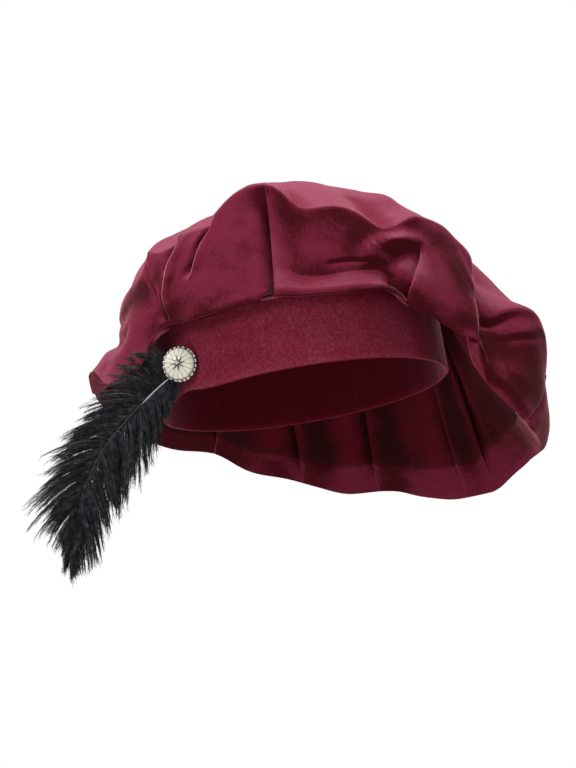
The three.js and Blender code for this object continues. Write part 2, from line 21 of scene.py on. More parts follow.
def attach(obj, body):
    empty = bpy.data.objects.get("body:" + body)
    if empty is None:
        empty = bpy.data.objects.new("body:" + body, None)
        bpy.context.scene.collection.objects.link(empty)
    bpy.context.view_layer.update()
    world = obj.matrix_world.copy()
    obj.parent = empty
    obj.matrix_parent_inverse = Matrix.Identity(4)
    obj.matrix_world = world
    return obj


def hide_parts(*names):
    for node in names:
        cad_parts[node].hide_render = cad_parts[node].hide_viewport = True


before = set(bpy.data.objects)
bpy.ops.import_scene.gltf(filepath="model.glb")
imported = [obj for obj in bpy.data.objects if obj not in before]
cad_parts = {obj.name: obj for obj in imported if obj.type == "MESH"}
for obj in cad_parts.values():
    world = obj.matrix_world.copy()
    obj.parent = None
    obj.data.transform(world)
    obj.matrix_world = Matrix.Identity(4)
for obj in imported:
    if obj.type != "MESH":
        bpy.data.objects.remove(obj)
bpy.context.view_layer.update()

log = logging.getLogger("beret")

MM = 0.001
BODY = "root"

# An azimuth beyond any on the hat, where a ring is read without limits.
FREE = 1e6

# The rings of the crown: azimuth, radius and height of the cloth where each ring passes. In order from the
# apex: half way to the crest, the crest, the hollow under it, the face of the cloth, and its lowest fold.
BROW = [
    (-150, 60, 117), (-120, 58, 116), (-90, 54, 112), (-75, 52, 111.5), (-60, 56, 111), (-48, 60, 111),
    (-42, 62, 111), (-35, 62, 109.5), (-28, 62, 112.5), (-20, 62, 116.5), (-12, 62, 119), (-5, 62, 120.5),
    (3, 62, 121.3), (11, 62, 121.4), (21, 62, 120), (31, 62, 118), (42, 63, 116), (57, 66, 113),
    (66, 68, 111), (72, 72, 109), (78, 77, 107.5), (88, 80, 105), (100, 79, 106), (120, 70, 111),
    (150, 62, 116),
]
CREST = [
    (-150, 102, 97), (-120, 98, 100), (-90, 86, 98), (-72, 84, 99), (-60, 90, 96), (-53.5, 97, 93.5),
    (-46, 99, 89.5), (-40, 100, 89), (-35, 100, 92.7), (-30, 100, 94.2), (-24, 100, 94),
    (-19.4, 100, 99.7), (-14.1, 101, 107), (-9.7, 102, 110.3), (-6, 103, 111.6), (-1.9, 104, 111),
    (1, 105.5, 109), (4, 106.5, 103.2), (6.2, 107, 96), (8.3, 107.5, 91.3), (10.8, 108, 90.9),
    (16.9, 108, 91.9), (20.7, 108, 91.1), (27.1, 108, 86), (31.3, 108, 79.7), (34.9, 108, 75.3),
    (39, 110, 77), (43.5, 112, 81.2), (47.3, 113, 83.2), (53.8, 114, 81.3), (59.5, 116, 77.5),
    (64, 118, 71.5), (68.6, 120, 64), (70.5, 113, 50), (74, 118, 45), (78, 124, 41.5), (82, 129, 40.5),
    (86, 134, 38.5), (90, 138, 36.5), (100, 143, 35), (120, 138, 50), (150, 116, 76), (180, 105, 92),
]
HOLLOW = [
    (-150, 128, 62), (-120, 118, 74), (-90, 101, 79), (-72, 99, 79), (-60, 100, 79), (-52, 101.5, 76),
    (-46, 102, 75), (-40, 103.5, 75), (-32, 104, 78), (-24, 104, 82), (-15, 104.5, 85), (-6, 104.5, 86),
    (-2, 104, 85), (3, 104, 79), (10, 105.5, 74), (19, 106, 73), (28, 106, 68), (36, 107, 62),
    (43, 109, 62), (47.5, 113, 63.5), (54, 116.5, 60), (60, 121, 50), (64, 124, 40), (66, 122, 25),
    (68, 125.8, 21.5), (70, 130.2, 22), (72, 135.5, 24.5), (74, 141, 25.3), (76.5, 146, 24.5),
    (80, 149.8, 21.5), (84, 152, 15), (90, 153, 10), (100, 153.5, 9), (120, 150, 20), (150, 138, 40),
    (180, 130, 54),
]
FACE = [
    (-150, 145, 16), (-120, 132, 38), (-100, 108, 54), (-86, 103.5, 57), (-72, 103.5, 57), (-60, 104, 60),
    (-50, 104, 60), (-43, 106.5, 59), (-36, 108, 56.5), (-28, 109.5, 55.5), (-15, 110, 57), (-5, 108, 59),
    (-1, 106.5, 58.5), (4, 104, 52.5), (12, 103.5, 50.2), (23, 103.5, 51), (31, 104, 51), (37, 108, 44.5),
    (41, 114, 45), (50, 119.5, 37), (57, 123.5, 29), (60.5, 126, 24), (62.5, 123, 1), (68, 129, -5),
    (75, 140, -9), (82, 147, -13), (90, 149, -15), (105, 150.5, -18), (120, 154, -24), (150, 151, -20),
    (180, 148, -6),
]
HEM = [
    (-150, 134, -7), (-137, 134, -3), (-120, 133, 8), (-107, 132, 19), (-97, 131, 26), (-86, 129.5, 33.5),
    (-79, 130, 31), (-70, 129, 21), (-60, 126, 15.5), (-54, 121, 18), (-50.8, 115, 26),
    (-48.6, 110.5, 35.5), (-45, 108, 39.3), (-41, 108, 40), (-30, 111, 37.5), (-15, 112.5, 39),
    (-4, 111.5, 41.4), (4, 111, 39), (12, 111, 38), (21, 111, 37.7), (30, 111, 37.8), (33.5, 111, 36.5),
    (36, 111.5, 32), (38, 112, 28), (43, 116, 21), (48.4, 119, 13.5), (53, 122, 7.5), (58.8, 126, 3),
    (60.4, 122.5, -7), (62.6, 122, -20), (65.8, 127, -30.4), (69.6, 131, -38), (74, 134, -44),
    (80, 135.5, -48), (90, 139, -50), (100, 144.5, -52), (112, 150, -53), (122, 152, -58),
    (132, 150, -67), (141, 146, -66), (150, 142, -60), (160, 140, -51), (172, 139, -47), (180, 139, -39),
    (-173, 138, -31), (-162, 137, -23),
]

# How far along the cloth each ring lies, from 0 at the apex to 1 at the top of the band.
PLACES = (0.0, 0.17, 0.36, 0.48, 0.61, 0.76, 0.90, 1.0)

# Where a ring is a crisp fold: the ring's number from the apex, from which azimuth to which, and how crisp,
# from 0 to 1.
CRISP = [(2, -53, 66, 0.85), (3, -66, -53, 0.6), (3, 66, 84, 0.8), (4, 0, 38, 0.45), (5, -185, 185, 0.6)]


class Pleat(NamedTuple):
    """A knife pleat: where its folded edge runs, and how the cloth stands there.

    The first six are the edge's azimuth at the brow, the crest, the hollow, the face, the hem and the band.
    Then come where along the cloth it starts, how soon it is full, where it ends, how far its edge lifts, how
    far the next panel is tucked under it, how wide the two overlap, which side lies on top (1: the panel of
    growing azimuth) and how strongly it carries on across the underside. A jump is how many degrees the rings
    take to step from one panel to the next, where the two hang at different heights.
    """

    brow: float
    crest: float
    hollow: float
    face: float
    hem: float
    band: float
    start: float
    onset: float
    end: float
    lift: float
    tuck: float
    lap: float
    over: int
    under: float
    jump: float = 0.0

    def ring_edges(self) -> np.ndarray:
        """Gives the edge's azimuth at every ring, taken round to grow from 0 at the front."""
        turned = (self.hem + self.band) / 2
        rings = [self.brow, self.brow, self.crest, self.hollow, self.face, self.hem, turned, self.band]
        return np.array(rings) + (360 if self.hem < 0 else 0)


PLEATS = [
    # brow crest hollow face  hem  band start onset end lift tuck lap over under jump
    Pleat(-48, -54.0, -50.5, -45.2, -43.0, -47, 0.36, 0.12, 0.72, 1.5, 5.0, 4, 1, 0.1),
    Pleat(-26, -36.0, -41.8, -43.3, -40.3, -43, 0.34, 0.10, 0.72, 1.5, 5.0, 5, 1, 0.1),
    Pleat(-14, -20.5, -27.5, -33.0, -34.0, -34, 0.22, 0.14, 0.56, 1.5, 10.0, 8, 1, 0.0),
    Pleat(-1.0, -1.4, -2.4, -3.6, -4.2, -4, 0.36, 0.12, 0.79, 1.5, 5.5, 5, 1, 0.1),
    Pleat(42, 46.8, 46.6, 41.0, 37.4, 38, 0.46, 0.10, 0.79, 1.6, 3.0, 5, 1, 0.2),
    Pleat(60, 68.0, 64.3, 60.5, 59.0, 61, 0.30, 0.10, 0.73, 1.2, 4.0, 4, -1, 0.2, 2.0),
    Pleat(84, 92.0, 92.0, 89.0, 74.0, 80, 0.60, 0.06, 0.80, 1.0, 4.0, 4, -1, 0.3),
    Pleat(104, 114.0, 118.0, 122.0, 130.0, 114, 0.45, 0.14, 0.75, 2.0, 5.0, 4, 1, 0.8),
    Pleat(124, 130.0, 134.0, 137.0, 139.0, 127, 0.50, 0.14, 0.75, 2.0, 5.0, 5, -1, 1.0),
    Pleat(148, 155.0, 159.0, 162.0, 163.5, 158, 0.50, 0.14, 0.75, 2.0, 6.0, 5, -1, 1.0),
    Pleat(176, 180.0, 183.0, 184.0, 184.0, 186, 0.50, 0.14, 0.75, 2.0, 6.0, 5, -1, 1.0),
    Pleat(200, 205.0, 208.0, 209.0, 209.0, 212, 0.50, 0.14, 0.75, 2.0, 6.0, 5, -1, 1.0),
    Pleat(226, 231.0, 234.0, 235.0, 235.0, 238, 0.45, 0.14, 0.75, 2.0, 6.0, 5, -1, 0.8),
    Pleat(252, 258.0, 261.0, 262.0, 262.0, 262, 0.42, 0.14, 0.75, 2.0, 6.0, 5, -1, 0.6),
]


class Fold(NamedTuple):
    """A soft fold or, with negative heights, a dent.

    It has points of azimuth, place along the cloth and height, then its width on the left of a falling fold
    or below a level one, its width on the other side, and how round its top is. A fold that stays on one
    panel has the hem's azimuth of the pleat where that panel starts.
    """

    line: Sequence[tuple[float, float, float]]
    below: float
    above: float
    roundness: float
    panel: float | None = None


FOLDS = [
    # the roll between the two right front panels, and the groove below it
    Fold(
        [(27, 0.55, 1), (30.5, 0.485, 3.5), (35.5, 0.42, 5),
         (40.5, 0.425, 5.5), (44.5, 0.445, 4.5), (48, 0.47, 1.5)],
        6, 3.6, 2,
    ),
    Fold([(29, 0.585, -0.6), (34, 0.555, -0.8), (39, 0.53, -1)], 3, 3, 1.8, -4.2),
    # the cloth behind the crest on the right: a corner, then a flatter stretch
    Fold([(40, 0.24, 1.5), (46, 0.27, 3.5), (51, 0.285, 1)], 9, 9, 2),
    Fold([(56, 0.29, -2.5), (61, 0.305, -5), (67, 0.32, -5)], 9, 9, 2),
    # a faint crease across the front panel
    Fold([(14, 0.57, -0.5), (22, 0.567, -0.8), (30, 0.565, -0.6)], 1.2, 1.2, 1.6),
    # the dark hollow under the right front panel's edge
    Fold([(33.5, 0.71, -1), (38, 0.69, -4)], 2.5, 2.5, 2, -4.2),
    # tongue and slit on the right side: groove under the crest, edge of the tongue, slit below it
    Fold(
        [(60, 0.525, -2.6), (66, 0.512, -2.6), (71, 0.503, -1.3), (77, 0.497, -0.5), (82, 0.492, 0)],
        3.6, 2.4, 1.8, 59,
    ),
    Fold(
        [(58, 0.565, 0.2), (66, 0.552, 0.3), (71, 0.545, 0.6), (76, 0.535, 1), (81, 0.508, 0.8)],
        1.4, 5, 1.8, 59,
    ),
    Fold(
        [(58, 0.58, 0), (66, 0.564, -0.1), (71, 0.557, -0.3), (77, 0.547, -0.9), (83, 0.516, -0.8)],
        1.1, 0.9, 1.8, 59,
    ),
    # the left lobe: slack under the crest, its round belly, and the groove above the flap
    Fold([(-98, 0.45, 0), (-84, 0.455, -2.4), (-64, 0.46, -1)], 7, 6, 2),
    Fold([(-98, 0.555, 0), (-84, 0.56, 1.6), (-66, 0.56, 0.6)], 6, 6, 2),
    Fold([(-98, 0.65, 0), (-84, 0.655, -5), (-64, 0.665, -2.4)], 5, 5, 2),
    # the soft ridge above the right side's hem
    Fold([(58, 0.65, 0.5), (66, 0.68, 1), (70, 0.70, 1.2), (74, 0.72, 1), (78, 0.74, 0.5)], 6, 6, 1.8, 59),
]


class PaintedPatch(NamedTuple):
    """A patch of painted light on the pile; a negative amount paints shade.

    It has its middle, how far it reaches round the hat and along the cloth, and how much lighter it looks.
    """

    azimuth: float
    place: float
    wide: float
    long: float
    lighter: float


# Painted light and painted shade, patch by patch, on the velvet's pile.
PAINTED_PATCHES = [
    # the right side, its roll and the corner above it
    PaintedPatch(61, 0.52, 8, 0.13, -0.28), PaintedPatch(46, 0.62, 6, 0.10, 0.28), PaintedPatch(73, 0.43, 9, 0.05, 0.35),
    PaintedPatch(64, 0.535, 5, 0.03, -0.25), PaintedPatch(75, 0.525, 4, 0.02, 0.15),
    PaintedPatch(72, 0.64, 8, 0.05, -0.1),
    # the front panels
    PaintedPatch(3, 0.40, 6, 0.05, -0.2), PaintedPatch(18, 0.40, 9, 0.05, -0.15), PaintedPatch(8, 0.53, 10, 0.06, 0.15),
    PaintedPatch(16, 0.70, 16, 0.05, -0.14),
    # round the edge of the right front panel, with painted shade in the dark pocket below it
    PaintedPatch(44, 0.49, 3, 0.04, 0.3), PaintedPatch(34, 0.53, 6, 0.045, 0.4),
    PaintedPatch(36.5, 0.69, 3.5, 0.05, -0.7), PaintedPatch(36, 0.78, 5, 0.04, -0.6),
    # the left lobe and the flap under it
    PaintedPatch(-62, 0.55, 18, 0.11, -0.42), PaintedPatch(-50, 0.88, 8, 0.07, -0.5),
    # the back of the slouch and the pleats of the underside
    PaintedPatch(155, 0.79, 45, 0.04, 0.15), PaintedPatch(125, 0.75, 12, 0.05, 0.15),
    PaintedPatch(180, 0.86, 8, 0.09, -0.26), PaintedPatch(159, 0.86, 8, 0.09, -0.3),
    PaintedPatch(134, 0.87, 8, 0.08, -0.2),
]


class Station(NamedTuple):
    """A point of the plume's quill, and how far the barbs reach to the wearer's right and left there."""

    x: float
    y: float
    z: float
    right: float
    left: float


PLUME = [
    Station(-74, -68.8, 14.5, 26, 9),
    Station(-86.5, -69.3, 6.6, 27, 20),
    Station(-96.7, -69.2, -0.8, 25, 27),
    Station(-105.7, -68.3, -7.7, 25, 29),
    Station(-113.7, -66.9, -14, 25, 29),
    Station(-123.4, -65.4, -23, 27, 27),
    Station(-131.8, -63.8, -33.5, 27, 25),
    Station(-138.4, -62.2, -44.3, 20, 21),
    Station(-144, -60.7, -56.5, 13, 17),
    Station(-149.1, -59.1, -69.3, 8, 12),
    Station(-151.8, -58.3, -77.5, 8, 10),
]


class Side(Enum):
    """The two vanes of the plume, named for the wearer's sides. The value is the sign across the quill."""

    RIGHT = -1
    LEFT = 1


def linear(hex_colour: str) -> tuple[float, float, float, float]:
    """Turns an sRGB hex colour into linear RGBA.

    Args:
        hex_colour: A colour such as "#6d1a2e".

    Returns:
        Red, green, blue and an alpha of 1, in linear light.
    """
    channels = [int(hex_colour[i : i + 2], 16) / 255 for i in (1, 3, 5)]
    red, green, blue = (c / 12.92 if c <= 0.04045 else ((c + 0.055) / 1.055) ** 2.4 for c in channels)
    return red, green, blue, 1.0


def smooth(x: Any, low: float, high: float) -> Any:
    """Rises smoothly from 0 at low to 1 at high.

    Args:
        x: A number or an array.
        low: Where the rise starts.
        high: Where it ends.

    Returns:
        The rise at x.
    """
    t = np.clip((x - low) / (high - low), 0.0, 1.0)
    return t * t * (3 - 2 * t)


def add_node(
    tree: bpy.types.NodeTree,
    kind: str,
    inputs: dict[Any, Any] | None = None,
    **settings: Any,
) -> bpy.types.Node:
    """Adds a shader node with its settings and links.

    Args:
        tree: The material's node tree.
        kind: The node's type, such as "ShaderNodeTexNoise".
        inputs: For each input's name or number, a value or the output socket that feeds it.
        settings: The node's own properties, such as operation="ADD".

    Returns:
        The new node.
    """
    node = tree.nodes.new(kind)
    for name, value in settings.items():
        setattr(node, name, value)
    feed(tree, node, inputs or {})
    return node


def feed(tree: bpy.types.NodeTree, node: bpy.types.Node, inputs: dict[Any, Any]) -> None:
    """Sets inputs of a node.

    Args:
        tree: The material's node tree.
        node: The node.
        inputs: For each input's name or number, a value or the output socket that feeds it.
    """
    for name, value in inputs.items():
        if isinstance(value, bpy.types.NodeSocket):
            tree.links.new(value, node.inputs[name])
        else:
            node.inputs[name].default_value = value


class Canvas(NamedTuple):
    """A new material with its node tree, its Principled shader and the place that patterns follow."""

    material: bpy.types.Material
    tree: bpy.types.NodeTree
    shader: bpy.types.Node
    spot: bpy.types.NodeSocket


def new_material(name: str) -> Canvas:
    """Makes a material with a Principled shader.

    Args:
        name: The material's name.

    Returns:
        The material with what a finish is built on.
    """
    material = bpy.data.materials.new(name)
    material.use_nodes = True
    tree = material.node_tree
    spot = add_node(tree, "ShaderNodeTexCoord").outputs["Object"]
    return Canvas(material, tree, tree.nodes["Principled BSDF"], spot)


def dressed(
    name: str, mesh: bpy.types.Mesh, material: bpy.types.Material, rounded: bool = True
) -> bpy.types.Object:
    """Gives a mesh its finish and puts it in the scene, at the origin.

    Args:
        name: The piece's name.
        mesh: The mesh in metres.
        material: Its finish.
        rounded: Whether its faces are shaded smooth.

    Returns:
        The piece.
    """
    mesh.materials.append(material)
    mesh.polygons.foreach_set("use_smooth", [rounded] * len(mesh.polygons))
    piece = bpy.data.objects.new(name, mesh)
    bpy.context.scene.collection.objects.link(piece)
    return piece


def finished(
    name: str, bm: bmesh.types.BMesh, material: bpy.types.Material, rounded: bool = True
) -> bpy.types.Object:
    """Turns a bmesh into an object at the origin.

    Args:
        name: The piece's name.
        bm: The mesh in metres, which is freed.
        material: Its finish.
        rounded: Whether its faces are shaded smooth.

    Returns:
        The piece.
    """
    mesh = bpy.data.meshes.new(name)
    bm.to_mesh(mesh)
    bm.free()
    return dressed(name, mesh, material, rounded)


def place(piece: bpy.types.Object, slot: str, *nodes: str) -> None:
    """Rides a piece on the hat and lets it stand for solids of the frame.

    Args:
        piece: The piece.
        slot: A material slot's name, not used.
        nodes: The solids that it stands for.
    """
    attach(piece, BODY)
    if nodes:
        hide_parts(*nodes)
    log.info("%s: %d faces", piece.name, len(piece.data.polygons))


def outward(bm: bmesh.types.BMesh, probe: Vector) -> None:
    """Turns all faces of a mesh outwards.

    Args:
        bm: The mesh, with its doubles merged.
        probe: A point inside the hat; the face farthest from it must face away from it.
    """
    bmesh.ops.recalc_face_normals(bm, faces=bm.faces[:])
    bm.normal_update()
    far = max(bm.faces, key=lambda face: (face.calc_center_median() - probe).length)
    if far.normal.dot(far.calc_center_median() - probe) < 0:
        bmesh.ops.reverse_faces(bm, faces=bm.faces[:])


@dataclass(frozen=True)
class Velvet:
    """Silk panne velvet: a short pile that swallows light where one looks into it and shines pink where it is
    seen along the surface and over the edges of folds, with patches where it has been brushed another way.
    Its colour also holds painted light: lighter where the cloth faces up and on fold edges, darker in
    creases."""

    name: str
    deep: str
    body: str
    bloom: str
    sheen_tint: str
    sheen: float = 0.7
    laid: float = 0.0
    patch_mm: float = 26.0
    mottle_mm: float = 1.7
    pile_mm: float = 0.7
    ground: float = 0.24
    # shares in the colour: real patches and mottle, a painted highlight and painted shade on ridges, and
    # painted light where the cloth faces up
    patch_share: float = 0.18
    mottle_share: float = 0.5
    ridge_share: float = 0.35
    painted_light_share: float = 1.25
    body_at: float = 0.45

    def material(self) -> bpy.types.Material:
        """Builds the finish: its colour, from deep to bloom, sums patches and mottle with painted light: a
        painted highlight on ridges, painted shade in creases, and painted light where the cloth faces up.

        Returns:
            The material.
        """
        material, tree, shader, spot = new_material(self.name)
        patches, mottle, pile = (
            add_node(tree, "ShaderNodeTexNoise", {"Vector": spot, "Scale": 1 / (size * MM), **detail})
            for size, detail in (
                (self.patch_mm, {"Detail": 3.0, "Roughness": 0.55, "Distortion": 0.4}),
                (self.mottle_mm, {"Detail": 3.0, "Roughness": 0.7}),
                (self.pile_mm, {"Detail": 2.0, "Roughness": 0.6}),
            )
        )
        # painted light and shade: the ridge attribute paints highlights on fold edges and shade in creases,
        # the other attribute paints light where the cloth faces up
        ridge, painted_light = (add_node(tree, "ShaderNodeAttribute", attribute_name=name) for name in ("ridge", "painted_light"))
        shares = (
            (patches, self.patch_share),
            (mottle, self.mottle_share),
            (ridge, self.ridge_share),
            (painted_light, self.painted_light_share),
        )
        lit: Any = self.laid - self.ground
        for source, share in shares:
            lit = add_node(
                tree, "ShaderNodeMath", {0: source.outputs["Fac"], 1: share, 2: lit}, operation="MULTIPLY_ADD"
            ).outputs[0]
        shades = add_node(tree, "ShaderNodeValToRGB", {"Fac": lit})
        ramp = shades.color_ramp
        ramp.interpolation = "EASE"
        ramp.elements[0].position, ramp.elements[0].color = 0.0, linear(self.deep)
        ramp.elements[1].position, ramp.elements[1].color = 1.0, linear(self.bloom)
        ramp.elements.new(self.body_at).color = linear(self.body)
        relief = add_node(
            tree,
            "ShaderNodeMath",
            {0: pile.outputs["Fac"], 1: 0.35, 2: mottle.outputs["Fac"]},
            operation="MULTIPLY_ADD",
        )
        bump = add_node(
            tree, "ShaderNodeBump", {"Height": relief.outputs[0], "Strength": 0.35, "Distance": 0.5 * MM}
        )
        feed(tree, shader, {
            "Base Color": shades.outputs["Color"],
            "Normal": bump.outputs["Normal"],
            "Roughness": 0.85,
            "Specular IOR Level": 0.12,
            "Sheen Weight": self.sheen,
            "Sheen Roughness": 0.3,
            "Sheen Tint": linear(self.sheen_tint),
        })
        return material


@dataclass(frozen=True)
class Metal:
    """Cast metal, polished on its high places and darkened in its hollows, with fine scratches."""

    name: str
    bright: str
    dark: str
    roughness: float = 0.28
    grain_mm: float = 0.7
    grains_per_spot: float = 3.5

    def material(self) -> bpy.types.Material:
        """Builds the finish.

        Returns:
            The material.
        """
        material, tree, shader, spot = new_material(self.name)
        spots = 1 / (self.grains_per_spot * self.grain_mm * MM)
        tarnish = add_node(tree, "ShaderNodeTexNoise", {"Vector": spot, "Scale": spots, "Detail": 4.0})
        scratches = add_node(
            tree, "ShaderNodeTexNoise", {"Vector": spot, "Scale": 1 / (self.grain_mm * MM), "Detail": 2.0}
        )
        hollow = add_node(tree, "ShaderNodeAttribute", attribute_name="hollow")
        dirt = add_node(
            tree, "ShaderNodeMath", {0: tarnish.outputs["Fac"], 1: 0.6, 2: -0.15}, operation="MULTIPLY_ADD"
        )
        amount = add_node(
            tree,
            "ShaderNodeMath",
            {0: dirt.outputs[0], 1: hollow.outputs["Fac"]},
            operation="ADD",
            use_clamp=True,
        )
        colour = add_node(
            tree,
            "ShaderNodeMix",
            {0: amount.outputs[0], 6: linear(self.bright), 7: linear(self.dark)},
            data_type="RGBA",
        )
        rough = add_node(
            tree,
            "ShaderNodeMath",
            {0: amount.outputs[0], 1: 0.4, 2: self.roughness},
            operation="MULTIPLY_ADD",
        )
        bump = add_node(
            tree,
            "ShaderNodeBump",
            {"Height": scratches.outputs["Fac"], "Strength": 0.25, "Distance": 0.08 * MM},
        )
        feed(tree, shader, {
            "Base Color": colour.outputs[2],
            "Roughness": rough.outputs[0],
            "Normal": bump.outputs["Normal"],
            "Metallic": 1.0,
        })
        return material


@dataclass(frozen=True)
class Pearl:
    """Moulded pearl: cream clouded with grey green, with a soft silky gloss, and painted shade in grey green
    in its flutes and towards its edge.
    """

    name: str
    cream: str
    shade: str
    cloud_mm: float = 2.4

    def material(self) -> bpy.types.Material:
        """Builds the finish.

        Returns:
            The material.
        """
        material, tree, shader, spot = new_material(self.name)
        clouds = add_node(
            tree, "ShaderNodeTexNoise", {"Vector": spot, "Scale": 1 / (self.cloud_mm * MM), "Detail": 3.0}
        )
        hollow = add_node(tree, "ShaderNodeAttribute", attribute_name="hollow")
        # painted shade: the hollow attribute darkens the flutes and the dome's edge; the clouds are the
        # pearl's own
        amount = add_node(
            tree,
            "ShaderNodeMath",
            {0: clouds.outputs["Fac"], 1: 0.35, 2: hollow.outputs["Fac"]},
            operation="MULTIPLY_ADD",
            use_clamp=True,
        )
        colour = add_node(
            tree,
            "ShaderNodeMix",
            {0: amount.outputs[0], 6: linear(self.cream), 7: linear(self.shade)},
            data_type="RGBA",
        )
        bump = add_node(
            tree, "ShaderNodeBump", {"Height": clouds.outputs["Fac"], "Strength": 0.1, "Distance": 0.1 * MM}
        )
        feed(tree, shader, {
            "Base Color": colour.outputs[2],
            "Normal": bump.outputs["Normal"],
            "Roughness": 0.3,
            "Coat Weight": 0.5,
            "Coat Roughness": 0.15,
        })
        return material


@dataclass(frozen=True)
class Crystal:
    """Cut glass, foiled behind: clear, with sharp glints and a faint cloudiness."""

    name: str
    tint: str
    flaw_mm: float = 0.9

    def material(self) -> bpy.types.Material:
        """Builds the finish.

        Returns:
            The material.
        """
        material, tree, shader, spot = new_material(self.name)
        flaws = add_node(tree, "ShaderNodeTexNoise", {"Vector": spot, "Scale": 1 / (self.flaw_mm * MM)})
        rough = add_node(
            tree, "ShaderNodeMapRange", {"Value": flaws.outputs["Fac"], "To Min": 0.01, "To Max": 0.12}
        )
        feed(tree, shader, {
            "Base Color": linear(self.tint),
            "Roughness": rough.outputs[0],
            "Transmission Weight": 0.55,
            "IOR": 1.6,
        })
        return material


@dataclass(frozen=True)
class Horn:
    """The quill's horn: silvery and glossy at the bare root, dyed black where the barbs begin."""

    name: str
    bare: str
    dyed: str
    streak_mm: float = 0.5
    dyed_from: float = 0.21

    def material(self) -> bpy.types.Material:
        """Builds the finish.

        Returns:
            The material.
        """
        material, tree, shader, spot = new_material(self.name)
        streaks = add_node(tree, "ShaderNodeTexNoise", {"Vector": spot, "Scale": 1 / (self.streak_mm * MM)})
        along = add_node(tree, "ShaderNodeAttribute", attribute_name="along")
        ragged = add_node(
            tree,
            "ShaderNodeMath",
            {0: streaks.outputs["Fac"], 1: 0.08, 2: along.outputs["Fac"]},
            operation="MULTIPLY_ADD",
        )
        dye = add_node(
            tree,
            "ShaderNodeMapRange",
            {"Value": ragged.outputs[0], "From Min": self.dyed_from, "From Max": self.dyed_from + 0.05},
        )
        colour = add_node(
            tree,
            "ShaderNodeMix",
            {0: dye.outputs[0], 6: linear(self.bare), 7: linear(self.dyed)},
            data_type="RGBA",
        )
        bump = add_node(
            tree, "ShaderNodeBump", {"Height": streaks.outputs["Fac"], "Strength": 0.2, "Distance": 0.1 * MM}
        )
        feed(tree, shader, {
            "Base Color": colour.outputs[2],
            "Normal": bump.outputs["Normal"],
            "Roughness": 0.32,
        })
        return material


@dataclass(frozen=True)
class Barbs:
    """Ostrich barbs dyed black: fine soft strands, with grey glints painted into their colour as painted
    highlights.
    """

    name: str
    black: str
    painted_glint: str
    clump_mm: float = 3.5

    def material(self) -> bpy.types.Material:
        """Builds the finish.

        Returns:
            The material.
        """
        material, tree, shader, spot = new_material(self.name)
        clumps = add_node(
            tree, "ShaderNodeTexNoise", {"Vector": spot, "Scale": 1 / (self.clump_mm * MM), "Detail": 3.0}
        )
        amount = add_node(
            tree,
            "ShaderNodeMapRange",
            {"Value": clumps.outputs["Fac"], "From Min": 0.45, "From Max": 0.7},
        )
        # painted highlight: grey glints in clumps
        colour = add_node(
            tree,
            "ShaderNodeMix",
            {0: amount.outputs[0], 6: linear(self.black), 7: linear(self.painted_glint)},
            data_type="RGBA",
        )
        feed(tree, shader, {"Base Color": colour.outputs[2], "Roughness": 0.48, "Specular IOR Level": 0.5})
        return material


@dataclass(frozen=True)
class Plaster:
    """A pale matt studio floor."""

    name: str
    colour: str
    cloud_mm: float = 300.0

    def material(self) -> bpy.types.Material:
        """Builds the finish.

        Returns:
            The material.
        """
        material, tree, shader, spot = new_material(self.name)
        clouds = add_node(tree, "ShaderNodeTexNoise", {"Vector": spot, "Scale": 1 / (self.cloud_mm * MM)})
        rough = add_node(
            tree, "ShaderNodeMapRange", {"Value": clouds.outputs["Fac"], "To Min": 0.75, "To Max": 0.9}
        )
        feed(tree, shader, {"Base Color": linear(self.colour), "Roughness": rough.outputs[0]})
        return material


